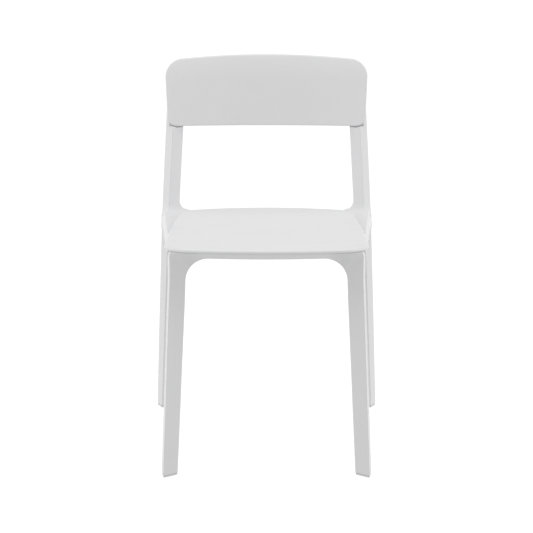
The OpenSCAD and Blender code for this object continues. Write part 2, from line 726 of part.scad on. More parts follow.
module front_left_joint_bolts() { color("silver") on_side(LEFT) front_joint_bolts(); }
module front_right_joint_bolts() { color("silver") on_side(RIGHT) front_joint_bolts(); }
module rear_left_joint_bolts() { color("silver") on_side(LEFT) rear_joint_bolts(); }
module rear_right_joint_bolts() { color("silver") on_side(RIGHT) rear_joint_bolts(); }
module front_left_joint_inserts() { color("gold") on_side(LEFT) front_joint_inserts(); }
module front_right_joint_inserts() { color("gold") on_side(RIGHT) front_joint_inserts(); }
module rear_left_joint_inserts() { color("gold") on_side(LEFT) rear_joint_inserts(); }
module rear_right_joint_inserts() { color("gold") on_side(RIGHT) rear_joint_inserts(); }

seat_shell();
backrest_shell();
front_frame();
rear_frame();
left_side_rail();
right_side_rail();
front_left_glide();
front_right_glide();
rear_left_glide();
rear_right_glide();
front_left_stack_pad();
front_right_stack_pad();
rear_left_stack_pad();
rear_right_stack_pad();
seat_screws();
backrest_screws();
backrest_screw_caps();
front_left_joint_bolts();
front_right_joint_bolts();
rear_left_joint_bolts();
rear_right_joint_bolts();
front_left_joint_inserts();
front_right_joint_inserts();
rear_left_joint_inserts();
rear_right_joint_inserts();
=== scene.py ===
"""Looks of a stacking side chair moulded in white polypropylene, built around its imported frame.

The mouldings are worked out again from the values they were designed with, on finer grids than
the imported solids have. Sizes in the classes are in millimetres, the mesh helpers turn them into
metres. +Z is up, +X is the sitter's left, and the chair faces -Y.
"""

import logging
import math
from dataclasses import dataclass, field
from enum import Enum
from typing import Any, Sequence

import bpy
import numpy as np
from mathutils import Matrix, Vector


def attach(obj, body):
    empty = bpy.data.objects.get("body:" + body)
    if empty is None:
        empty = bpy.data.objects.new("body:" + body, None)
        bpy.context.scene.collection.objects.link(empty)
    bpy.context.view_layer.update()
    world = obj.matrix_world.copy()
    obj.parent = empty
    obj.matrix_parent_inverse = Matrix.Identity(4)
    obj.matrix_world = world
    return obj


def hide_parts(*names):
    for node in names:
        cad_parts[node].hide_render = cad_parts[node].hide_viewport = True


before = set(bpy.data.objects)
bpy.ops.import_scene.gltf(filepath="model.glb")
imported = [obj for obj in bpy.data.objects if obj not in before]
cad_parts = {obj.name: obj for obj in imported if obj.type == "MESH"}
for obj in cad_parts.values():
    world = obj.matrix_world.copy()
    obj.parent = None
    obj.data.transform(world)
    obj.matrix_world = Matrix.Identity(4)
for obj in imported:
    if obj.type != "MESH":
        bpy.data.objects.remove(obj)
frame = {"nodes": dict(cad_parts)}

LOG = logging.getLogger("stacking_chair")
MM = 0.001
BODY = "root"


class Side(Enum):
    """The two sides of the chair, as the sign of their X."""

    LEFT = 1
    RIGHT = -1


class Join(Enum):
    """What a boolean step does with its tools."""

    ADD = "UNION"
    CUT = "DIFFERENCE"


# ---------- Curves and grids ----------


def mix(a: Any, b: Any, t: Any) -> Any:
    """Returns the value a share t of the way from a to b."""
    return a + (b - a) * t


def clamp(t: Any) -> Any:
    """Returns t held between 0 and 1."""
    return np.clip(t, 0.0, 1.0)


def ease(t: Any) -> Any:
    """Returns the smooth step 3t^2 - 2t^3 of t held between 0 and 1."""
    c = clamp(t)
    return c * c * (3 - 2 * c)


def through(z: Any, heights: Sequence[float], values: Sequence[float]) -> Any:
    """The parabola through three points, as the sum of the three Lagrange terms.

    Args:
        z: Heights to work out.
        heights: The three known heights.
        values: The values at them.

    Returns:
        The parabola's values at z.
    """
    total = 0.0
    for i in range(3):
        j, k = (i + 1) % 3, (i + 2) % 3
        total = total + values[i] * (z - heights[j]) * (z - heights[k]) / (
            (heights[i] - heights[j]) * (heights[i] - heights[k])
        )
    return total


def stack(*columns: Any) -> np.ndarray:
    """Returns the columns, each a number or an array, side by side in one array."""
    return np.stack(np.broadcast_arrays(*columns), axis=-1)


def rounded(corners: np.ndarray, radii: Sequence[float], steps: int = 6) -> np.ndarray:
    """Rounds the corners of many closed outlines at once.

    A corner q becomes the curve a(1-t)^2 + 2qt(1-t) + bt^2, where a and b lie on its two edges
    at the corner's radius from q, or at 46% of an edge that is shorter.

    Args:
        corners: Outlines as an array of (outline, corner, 2).
        radii: One radius for each corner.
        steps: Pieces of each corner's curve.

    Returns:
        The outlines as (outline, point, 2).
    """
    reach = np.asarray(radii, float)[None, :, None]

    def towards(neighbour: np.ndarray) -> np.ndarray:
        """Returns the point where each corner's curve meets the edge to a neighbour."""
        edge = neighbour - corners
        length = np.linalg.norm(edge, axis=2, keepdims=True)
        return corners + edge * np.minimum(reach / length, 0.46)

    a = towards(np.roll(corners, 1, axis=1))[:, :, None]
    b = towards(np.roll(corners, -1, axis=1))[:, :, None]
    q = corners[:, :, None]
    t = np.linspace(0.0, 1.0, steps + 1)[None, None, :, None]
    points = a * (1 - t) ** 2 + q * 2 * t * (1 - t) + b * t**2
    return points.reshape(len(corners), -1, 2)


def arc(centre: Sequence[Any], radius: Any, start: float, steps: int = 16) -> np.ndarray:
    """Returns the points of a quarter circle, centre + radius (cos a, sin a) from a = start."""
    a = np.radians(start + np.linspace(0.0, 90.0, steps + 1))
    return stack(centre[0] + radius * np.cos(a), centre[1] + radius * np.sin(a))


def between(a: float, b: float, pieces: int) -> np.ndarray:
    """Returns the points that cut a straight run from a to b into pieces, without its ends."""
    return np.linspace(a, b, pieces + 1)[1:-1]


def drawn_in(rings: np.ndarray, distance: np.ndarray) -> np.ndarray:
    """Draws rings in towards their middles.

    Args:
        rings: Array of (ring, point, 3).
        distance: How far each ring is drawn in.

    Returns:
        Each point moved by its ring's distance straight towards the ring's mean point.
    """
    inward = rings.mean(axis=1, keepdims=True) - rings
    length = np.linalg.norm(inward, axis=2, keepdims=True)
    return rings + inward / length * np.asarray(distance)[:, None, None]


def round_over(height: np.ndarray, radius: float) -> np.ndarray:
    """Returns r - sqrt(r^2 - (r-h)^2): how far a rounded end of that radius lies inside at h."""
    h = np.clip(height, 0.0, radius)
    return radius - np.sqrt(np.maximum(radius**2 - (radius - h) ** 2, 0.0))


def rounded_end(height: float, radius: float, steps: int = 7) -> np.ndarray:
    """Returns heights above an end, r(1 - cos a), that space a rounded edge's rings evenly."""
    return height + radius * (1 - np.cos(np.radians(np.linspace(0.0, 90.0, steps + 1))))


# ---------- Meshes ----------


def new_object(name: str, mesh: bpy.types.Mesh) -> bpy.types.Object:
    """Returns a new object of that name and mesh, in the scene."""
    obj = bpy.data.objects.new(name, mesh)
    bpy.context.scene.collection.objects.link(obj)
    return obj


def loft(name: str, rings: np.ndarray) -> bpy.types.Object:
    """Closed skin through rings that all have the same number of points, with flat end caps.

    The grid point (j, i) is point i of ring j, and the faces join (j, i), (j, i+1), (j+1, i+1)
    and (j+1, i). If the volume, a sixth of the sum of a.(b x c) over the triangles, comes out
    negative, every face is turned over.

    Args:
        name: The object's name.
        rings: Array of (ring, point, 3), in millimetres.

    Returns:
        The new object.
    """
    m, n = rings.shape[:2]
    index = np.arange(m * n).reshape(m, n)
    low, high = index[:-1], index[1:]
    quads = np.stack([low, np.roll(low, -1, 1), np.roll(high, -1, 1), high], -1).reshape(-1, 4)
    points = rings.reshape(-1, 3)
    middle = points.mean(axis=0)
    p = points[quads] - middle
    volume = np.einsum("ij,ij->", p[:, 0], np.cross(p[:, 1], p[:, 2]))
    volume += np.einsum("ij,ij->", p[:, 0], np.cross(p[:, 2], p[:, 3]))
    faces = quads.tolist() + [index[0, ::-1].tolist(), index[-1].tolist()]
    if volume < 0:
        faces = [face[::-1] for face in faces]
    mesh = bpy.data.meshes.new(name)
    mesh.from_pydata((points * MM).tolist(), [], faces)
    return new_object(name, mesh)


def mirrored(rings: np.ndarray, side: Side) -> np.ndarray:
    """Returns rings drawn for the sitter's left, on the side asked for."""
    return rings * np.array([side.value, 1.0, 1.0])


def rod(name: str, start: Sequence[float], along: Sequence[float], radius: float) -> bpy.types.Object:
    """Round rod, as two rings of start + r (u cos a + v sin a), u and v square to its length.

    Args:
        name: The object's name.
        start: Centre of one end.
        along: The way from that end to the other.
        radius: The rod's radius.

    Returns:
        The new object.
    """
    return spun(name, start, along, np.array([[radius, 0.0], [radius, 1.0]]))


def spun(
    name: str, start: Sequence[float], along: Sequence[float], profile: np.ndarray, sides: int = 40
) -> bpy.types.Object:
    """A profile carried round an axis: start + s along + r (u cos a + v sin a).

    Args:
        name: The object's name.
        start: The axis's start.
        along: The way from the axis's start to its end.
        profile: Array of (radius, share s of the way along).
        sides: Points round the axis.

    Returns:
        The new object.
    """
    axis = np.asarray(along, float)
    u = np.cross(axis, [1.0, 0.0, 0.0] if abs(axis[0]) < 0.5 * np.linalg.norm(axis) else [0, 0, 1.0])
    u /= np.linalg.norm(u)
    v = np.cross(axis, u) / np.linalg.norm(axis)
    a = np.linspace(0.0, 2 * np.pi, sides, endpoint=False)
    circle = np.cos(a)[:, None] * u + np.sin(a)[:, None] * v
    centre = np.asarray(start, float) + profile[:, 1:2] * axis
    return loft(name, centre[:, None, :] + profile[:, 0][:, None, None] * circle[None])


def combine(base: bpy.types.Object, tools: Sequence[bpy.types.Object], how: Join) -> None:
    """Adds closed solids to a piece, or cuts them out of it, and keeps the resulting mesh.

    Args:
        base: The piece.
        tools: The solids, which are used up.
        how: Whether they are added or cut.
    """
    for tool in tools:
        step = base.modifiers.new(tool.name, "BOOLEAN")
        step.object = tool
        step.operation = how.value
        step.solver = "EXACT"
    keep_result(base)
    for tool in tools:
        bpy.data.meshes.remove(tool.data)


def keep_result(obj: bpy.types.Object) -> None:
    """Puts what an object's modifiers make into its mesh, and takes the modifiers off.

    Args:
        obj: The object.
    """
    graph = bpy.context.evaluated_depsgraph_get()
    mesh = bpy.data.meshes.new_from_object(obj.evaluated_get(graph))
    obj.modifiers.clear()
    old, obj.data = obj.data, mesh
    bpy.data.meshes.remove(old)
    mesh.name = obj.name


def finish_skin(obj: bpy.types.Object, crease_deg: float = 34.0) -> None:
    """Shades a piece smoothly except over edges sharper than an angle.

    Normals are weighted by face area, which keeps the broad faces true up to their rounded edges.

    Args:
        obj: The piece.
        crease_deg: The angle in degrees.
    """
    obj.data.shade_smooth()
    obj.data.set_sharp_from_angle(angle=math.radians(crease_deg))
    step = obj.modifiers.new("true_faces", "WEIGHTED_NORMAL")
    step.keep_sharp = True
    keep_result(obj)


def place(obj: bpy.types.Object, nodes: Sequence[str], slot: str, skin: bpy.types.Material) -> None:
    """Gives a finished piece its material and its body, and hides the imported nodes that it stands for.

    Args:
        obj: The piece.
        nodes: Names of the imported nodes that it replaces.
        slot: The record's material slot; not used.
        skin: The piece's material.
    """
    obj.data.materials.clear()
    obj.data.materials.append(skin)
    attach(obj, BODY)
    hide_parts(*nodes)
    size = [round(float(v) * 1000) for v in obj.dimensions]
    LOG.info("%s: %d faces, %s mm, %s", obj.name, len(obj.data.polygons), size, skin.name)


# ---------- Finishes ----------


def linear(hex_colour: str) -> tuple[float, float, float, float]:
    """Turns an sRGB hex value into linear light.

    Args:
        hex_colour: Six hex digits, two each for red, green and blue.

    Returns:
        Red, green, blue and an alpha of 1.
    """
    srgb = np.array([int(hex_colour[i : i + 2], 16) for i in (0, 2, 4)]) / 255.0
    light = np.where(srgb <= 0.04045, srgb / 12.92, ((srgb + 0.055) / 1.055) ** 2.4)
    return (float(light[0]), float(light[1]), float(light[2]), 1.0)


def add_node(tree: bpy.types.NodeTree, kind: str, settings: dict[str, Any], links: dict[Any, Any]) -> Any:
    """Adds a node with its settings and its links.

    Args:
        tree: The node tree.
        kind: The node's type name.
        settings: Values for the node's own properties, or for its input sockets.
        links: Input sockets and the output sockets that feed them.

    Returns:
        The node.
    """
    node = tree.nodes.new(kind)
    for key, value in settings.items():
        if isinstance(key, str) and hasattr(node, key):
            setattr(node, key, value)
        else:
            node.inputs[key].default_value = value
    for key, source in links.items():
        tree.links.new(source, node.inputs[key])
    return node


def fresh_material(name: str) -> tuple[bpy.types.Material, bpy.types.NodeTree]:
    """Returns a new material of that name and its emptied node tree."""
    material = bpy.data.materials.new(name)
    material.use_nodes = True
    material.node_tree.nodes.clear()
    return material, material.node_tree


@dataclass(frozen=True)
class MouldedPlastic:
    """A plastic moulded against a grained steel tool.

    The tool's grain gives a fine, even pebble that breaks up the gloss. The flow of the melt
    leaves very soft clouds of tone, and use leaves paler, duller rubs.
    """

    name: str
    colour: str
    cloud_colour: str
    roughness: float
    rubbed_roughness: float
    grain_mm: float
    grain_depth_mm: float
    cloud_mm: float = 90.0
    rub_mm: float = 14.0
    ior: float = 1.49

    def build(self) -> bpy.types.Material:
        """Returns the material."""
        material, tree = fresh_material(self.name)
        where = add_node(tree, "ShaderNodeTexCoord", {}, {}).outputs["Object"]
        clouds = add_node(
            tree, "ShaderNodeTexNoise", {"Scale": 1 / (self.cloud_mm * MM), "Detail": 3.0}, {"Vector": where}
        )
        tone = add_node(
            tree,
            "ShaderNodeMix",
            {"data_type": "RGBA", 6: linear(self.colour), 7: linear(self.cloud_colour)},
            {0: clouds.outputs[0]},
        )
        rubs = add_node(
            tree,
            "ShaderNodeTexNoise",
            {"Scale": 1 / (self.rub_mm * MM), "Detail": 6.0, "Roughness": 0.7},
            {"Vector": where},
        )
        gloss = add_node(
            tree,
            "ShaderNodeMapRange",
            {1: 0.35, 2: 0.75, 3: self.roughness, 4: self.rubbed_roughness},
            {0: rubs.outputs[0]},
        )
        grain = add_node(
            tree,
            "ShaderNodeTexVoronoi",
            {"feature": "SMOOTH_F1", "Scale": 1 / (self.grain_mm * MM), "Smoothness": 0.6},
            {"Vector": where},
        )
        relief = add_node(
            tree,
            "ShaderNodeBump",
            {"Strength": 1.0, "Distance": self.grain_depth_mm * MM},
            {"Height": grain.outputs[0]},
        )
        shader = add_node(
            tree,
            "ShaderNodeBsdfPrincipled",
            {"IOR": self.ior},
            {"Base Color": tone.outputs[2], "Roughness": gloss.outputs[0], "Normal": relief.outputs[0]},
        )
        add_node(tree, "ShaderNodeOutputMaterial", {}, {"Surface": shader.outputs[0]})
        return material


@dataclass(frozen=True)
class TurnedMetal:
    """Metal cut to round shapes, which keeps fine tool marks and small changes of tone."""

    name: str
    colour: str
    worn_colour: str
    roughness: float
    mark_mm: float

    def build(self) -> bpy.types.Material:
        """Returns the material."""
        material, tree = fresh_material(self.name)
        where = add_node(tree, "ShaderNodeTexCoord", {}, {}).outputs["Object"]
        marks = add_node(
            tree, "ShaderNodeTexNoise", {"Scale": 1 / (self.mark_mm * MM), "Detail": 4.0}, {"Vector": where}
        )
        tone = add_node(
            tree,
            "ShaderNodeMix",
            {"data_type": "RGBA", 6: linear(self.colour), 7: linear(self.worn_colour)},
            {0: marks.outputs[0]},
        )
        gloss = add_node(
            tree,
            "ShaderNodeMapRange",
            {1: 0.3, 2: 0.7, 3: self.roughness * 0.8, 4: self.roughness * 1.2},
            {0: marks.outputs[0]},
        )
        relief = add_node(
            tree, "ShaderNodeBump", {"Strength": 0.4, "Distance": 0.02 * MM}, {"Height": marks.outputs[0]}
        )
        shader = add_node(
            tree,
            "ShaderNodeBsdfPrincipled",
            {"Metallic": 1.0},
            {"Base Color": tone.outputs[2], "Roughness": gloss.outputs[0], "Normal": relief.outputs[0]},
        )
        add_node(tree, "ShaderNodeOutputMaterial", {}, {"Surface": shader.outputs[0]})
        return material


# Injection-moulded polypropylene from a satin tool: a soft, broad gloss and a barely felt grain.
# The real grain is about 0.4 mm across, drawn as coarse as it needs to be to show.
SATIN_POLYPROPYLENE = MouldedPlastic("satin_polypropylene", "e2e2e3", "dededf", 0.40, 0.52, 1.1, 0.012)
# Polypropylene from a spark-eroded tool: duller, with a deeper pebble that feels dry to sit on.
PEBBLED_POLYPROPYLENE = MouldedPlastic("pebbled_polypropylene", "e3e3e4", "dfdfe0", 0.50, 0.60, 1.5, 0.022)
# Moulded polyamide: harder and glossier than the legs, scuffed dull where it slides on floors.
MOULDED_POLYAMIDE = MouldedPlastic(
    "moulded_polyamide", "dcdcda", "d2d2cf", 0.32, 0.62, 0.9, 0.010, cloud_mm=25.0, rub_mm=5.0, ior=1.53
)
# Thermoplastic elastomer: soft, fully matte, and slightly greyed by handling.
MATTE_ELASTOMER = MouldedPlastic(
    "matte_elastomer", "cfcfcc", "c6c6c2", 0.75, 0.85, 0.8, 0.015, cloud_mm=20.0, rub_mm=5.0, ior=1.50
)
# Zinc plate on cold-formed steel: a cool grey, satin metal with soft cloudy marks.
ZINC_PLATED_STEEL = TurnedMetal("zinc_plated_steel", "c4c7cb", "aeb2b8", 0.34, 1.2)
# Free-cutting brass, turned: warm yellow and fairly bright, with fine rings of tone.
TURNED_BRASS = TurnedMetal("turned_brass", "d9b667", "c29c4d", 0.28, 0.9)


@dataclass
class Finishes:
    """The chair's materials, each built once."""

    satin: bpy.types.Material = field(default_factory=SATIN_POLYPROPYLENE.build)
    pebbled: bpy.types.Material = field(default_factory=PEBBLED_POLYPROPYLENE.build)
    polyamide: bpy.types.Material = field(default_factory=MOULDED_POLYAMIDE.build)
    elastomer: bpy.types.Material = field(default_factory=MATTE_ELASTOMER.build)
    zinc: bpy.types.Material = field(default_factory=ZINC_PLATED_STEEL.build)
    brass: bpy.types.Material = field(default_factory=TURNED_BRASS.build)


# ---------- Layout ----------


@dataclass(frozen=True)
class Layout:
    """Sizes and lines that several mouldings share, in millimetres."""

    overall_w: float = 492.0
    overall_d: float = 542.0
    overall_h: float = 782.0
    seat_h: float = 455.0
    seat_w: float = 401.0
    seat_rear_w: float = 372.0
    seat_d: float = 403.0
    seat_wall: float = 4.5
    seat_lip: float = 2.0
    seat_bow: float = 25.0
    seat_front_r: float = 46.0
    seat_rear_r: float = 14.0
    seat_overhang: float = 9.0
    back_w: float = 436.0
    back_h: float = 139.0
    back_sweep: float = 36.0
    back_wall: float = 8.0
    back_arch: float = 9.5
    back_roll: float = 5.5
    back_edge_ease: float = 1.7
    front_leg_d: float = 42.0
    front_lean: float = 0.115
    foot_spacing_d: float = 466.0
    post_margin: float = 41.5
    back_overhang: float = 3.0
    rear_leg_w: float = 33.0
    ridge_set_foot: float = 12.0
    rail_h: float = 30.0
    post_bite: float = 5.2
    extra_lean: float = 0.02
    ledge_front_w: float = 36.0
    ledge_rear_w: float = 10.0
    front_joint_set: float = 6.0
    rear_joint_set: float = 14.0
    knee_set: float = 20.0
    bend_drop: float = 5.0
    post_end_drop: float = 30.0
    glide_h: float = 4.0
    stem_d: float = 12.0
    stem_hole_depth: float = 40.0
    bolt_d: float = 6.0
    bolt_set: float = 16.4
    bolt_share: float = 0.46
    insert_wall: float = 1.25
    screw_d: float = 4.0
    pilot_play: float = 0.05
    seat_screw_run: float = 60.0
    seat_screw_set: float = 12.0
    tab_lift: float = 8.0
    back_screw_set: float = 21.0
    back_screw_rises: tuple[float, float] = (36.0, 86.0)
    gap: float = 0.3

    @property
    def front_y(self) -> float:
        """Returns the line of the front feet."""
        return -self.overall_d / 2

    @property
    def rim_h(self) -> float:
        """Returns the height of the seat's rim."""
        return self.seat_wall + self.seat_lip

    @property
    def ledge_z(self) -> float:
        """Returns the level that the seat's rim rests on."""
        return self.seat_h - self.rim_h

    @property
    def rail_bottom_z(self) -> float:
        """Returns the level of the rails' underside."""
        return self.ledge_z - self.rail_h

    @property
    def front_top_y(self) -> float:
        """Returns how far back the front legs' ridge lies at seat height."""
        return self.front_y + self.front_lean * self.seat_h

    @property
    def front_top_half(self) -> float:
        """Returns half of the width over the front legs at seat height."""
        return self.seat_w / 2 - self.seat_overhang

    def seat_front_set(self, x: Any) -> Any:
        """How far the seat's front edge lies behind its middle: a parabolic bow, and the corner's arc.

        Args:
            x: Across.

        Returns:
            The distance back.
        """
        r = self.seat_front_r
        arc = np.clip(np.abs(x) - self.seat_w / 2 + r, 0.0, r)
        return self.seat_bow * (x / (self.seat_w / 2)) ** 2 + r - np.sqrt(r**2 - arc**2)

    @property
    def seat_front_y(self) -> float:
        """Returns the middle of the seat's front edge."""
        return self.front_top_y - float(self.seat_front_set(self.front_top_half))

    @property
    def seat_rear_y(self) -> float:
        """Returns the seat's rear edge."""
        return self.seat_front_y + self.seat_d

    @property
    def front_joint_y(self) -> float:
        """Returns the plane between the front frame and the rails."""
        return self.front_top_y + self.front_leg_d + self.front_joint_set

    @property
    def rear_joint_y(self) -> float:
        """Returns the plane between the rails and the rear frame."""
        return self.seat_rear_y - self.rear_joint_set

    @property
    def knee_y(self) -> float:
        """Returns where the rear legs bend into the posts."""
        return self.seat_rear_y + self.knee_set

    @property
    def bend_z(self) -> float:
        """Returns the height of that bend."""
        return self.seat_h - self.bend_drop

    @property
    def back_top_z(self) -> float:
        """Returns the height of the backrest's upper corners."""
        return self.overall_h - self.back_arch

    @property
    def back_bottom_z(self) -> float:
        """Returns the height of the backrest's lower corners."""
        return self.back_top_z - self.back_h

    @property
    def back_mid_z(self) -> float:
        """Returns the backrest's middle height."""
        return (self.back_top_z + self.back_bottom_z) / 2

    @property
    def post_top_z(self) -> float:
        """Returns the height at which the posts end behind the backrest."""
        return self.back_top_z - self.post_end_drop

    @property
    def back_screw_x(self) -> float:
        """Returns how far out the backrest's screws sit."""
        return self.back_w / 2 - self.back_screw_set

    @property
    def back_screw_zs(self) -> list[float]:
        """Returns the heights of the backrest's screws."""
        return [self.back_bottom_z + rise for rise in self.back_screw_rises]

    @property
    def pilot_r(self) -> float:
        """Returns the radius of a screw's pilot hole."""
        return self.screw_d / 2 + self.pilot_play

    @property
    def insert_hole_r(self) -> float:
        """Returns the radius of the hole round a threaded insert."""
        return self.bolt_d / 2 + self.insert_wall

    @property
    def stem_hole_r(self) -> float:
        """Returns the radius of the hole for a glide's stem."""
        return (self.stem_d + self.gap) / 2

    @property
    def back_limit_y(self) -> float:
        """Returns the backrest's upper corner in plan, before the lean is taken off."""
        return self.overall_d / 2 - self.back_wall - self.back_sweep - self.back_roll + self.back_edge_ease

    @property
    def post_lean(self) -> float:
        """Returns the posts' lean, at which their ridge meets the backrest at mid height."""
        rise = self.overall_h - self.back_mid_z
        sweep = self.back_sweep * (1 - (self.back_screw_x / (self.back_w / 2)) ** 2)
        reach = self.back_limit_y + sweep - self.post_bite - self.knee_y - self.extra_lean * rise
        return reach / (self.back_mid_z - self.bend_z + rise)

    @property
    def back_lean(self) -> float:
        """Returns the backrest's lean."""
        return self.post_lean + self.extra_lean

    def back_face_y(self, x: Any, z: Any) -> Any:
        """The backrest's front face: a lean, a parabolic sweep and a roll back at the top.

        Args:
            x: Across.
            z: Height.

        Returns:
            How far back the face lies there.
        """
        start = self.back_limit_y - self.back_lean * (self.back_h + self.back_arch)
        roll = clamp((z - self.back_top_z + 40) / (40 + self.back_arch)) ** 2
        return (
            start
            + self.back_lean * (z - self.back_bottom_z)
            + self.back_sweep * (1 - (x / (self.back_w / 2)) ** 2)
            + self.back_roll * roll
        )

    def seat_half_w(self, y: Any) -> Any:
        """Returns half of the seat's width at y, which falls with the square of the way back."""
        run = self.seat_d - self.seat_front_r - self.seat_rear_r
        t = clamp((self.seat_rear_y - self.seat_rear_r - y) / run)
        return mix(self.seat_rear_w / 2, self.seat_w / 2, 1 - (1 - t) ** 2)

    def rear_outer_x(self, z: Any) -> Any:
        """Returns a post's outer line, a parabola over the foot, the seat and the backrest."""
        heights = [0.0, self.ledge_z, self.back_mid_z]
        values = [
            self.overall_w / 2,
            self.seat_rear_w / 2 + self.post_margin,
            self.back_w / 2 - self.back_overhang,
        ]
        return through(z, heights, values)

    def rear_ridge_x(self, z: Any) -> Any:
        """Returns the post's ridge, inside its outer line."""
        return self.rear_outer_x(z) - self.ridge_set_foot - 0.0125 * z + 7.5e-6 * z**2

    def rear_inner_x(self, z: Any) -> Any:
        """Returns the post's inner line."""
        return self.rear_ridge_x(z) - (self.rear_leg_w - self.ridge_set_foot) - 1.5 * clamp(z / self.bend_z)

    def rail_outer_x(self, y: Any) -> Any:
        """Returns a rail's outer line, straight from the front frame to the post."""
        start = self.front_top_half + 5
        slope = (self.rear_outer_x(self.ledge_z) - start) / (self.knee_y - self.front_joint_y)
        return start + slope * (y - self.front_joint_y)

    def rail_inner_x(self, y: Any) -> Any:
        """Returns a rail's inner line, which keeps a ledge under the seat."""
        t = (y - self.front_joint_y) / (self.rear_joint_y - self.front_joint_y)
        front, rear = self.seat_w / 2 - self.ledge_front_w, self.seat_rear_w / 2 - self.ledge_rear_w
        return mix(front, rear, t)

    def rail_rings(self, y: np.ndarray, steps: int = 6) -> np.ndarray:
        """Sections of a rail: bevelled outside, a ridge, a valley beside the seat, and a ledge.

        The ridge rises by a smooth step as it moves out from under the seat's edge.

        Args:
            y: Places along the rail.
            steps: Pieces of each rounded corner.

        Returns:
            Rings of (ring, point, 3) for the sitter's left.
        """
        outer, inner = self.rail_outer_x(y), self.rail_inner_x(y)
        ridge = outer - mix(4.0, 7.0, (y - self.front_joint_y) / (self.knee_y - self.front_joint_y))
        rise = ease((ridge - self.seat_half_w(y) + 6) / 29)
        top = self.ledge_z - 1.5 + (self.rim_h - 1) * rise
        climb = 4.3 * ease((y - self.seat_rear_y - 1) / 14)
        valley = np.minimum(top - 0.5, self.ledge_z - 0.8 + climb)
        low = self.rail_bottom_z
        corners = np.stack(
            [
                stack(outer - 2, low + 0 * y),
                stack(outer, top - 14),
                stack(ridge, top),
                stack(np.minimum(ridge - 8, self.seat_half_w(y) + 1.5), valley),
                stack(inner, valley),
                stack(inner + 2, low + 0 * y),
            ],
            axis=1,
        )
        section = rounded(corners, [4, 4, 1.5, 3, 3, 3], steps)
        return stack(section[..., 0], y[:, None], section[..., 1])

    @property
    def seat_screw_ys(self) -> tuple[float, float]:
        """Returns where the seat's screws sit along the rails."""
        return (self.front_joint_y + self.seat_screw_run, self.rear_joint_y - self.seat_screw_run)

    def seat_screw_x(self, y: float) -> float:
        """Returns how far out a seat screw sits."""
        return float(self.rail_inner_x(y)) - self.seat_screw_set

    @property
    def tab_z(self) -> float:
        """Returns the underside of the rails' screw tabs."""
        return self.rail_bottom_z + self.tab_lift

    def joint_bolts(self, y: float) -> list[tuple[float, float]]:
        """Returns the two places, (x, z), of a joint's bolts."""
        middle = float(self.rail_outer_x(y)) - self.bolt_set
        z = self.rail_bottom_z + self.rail_h * self.bolt_share
        return [(middle - self.bolt_d, z), (middle + self.bolt_d, z)]


# ---------- Seat ----------


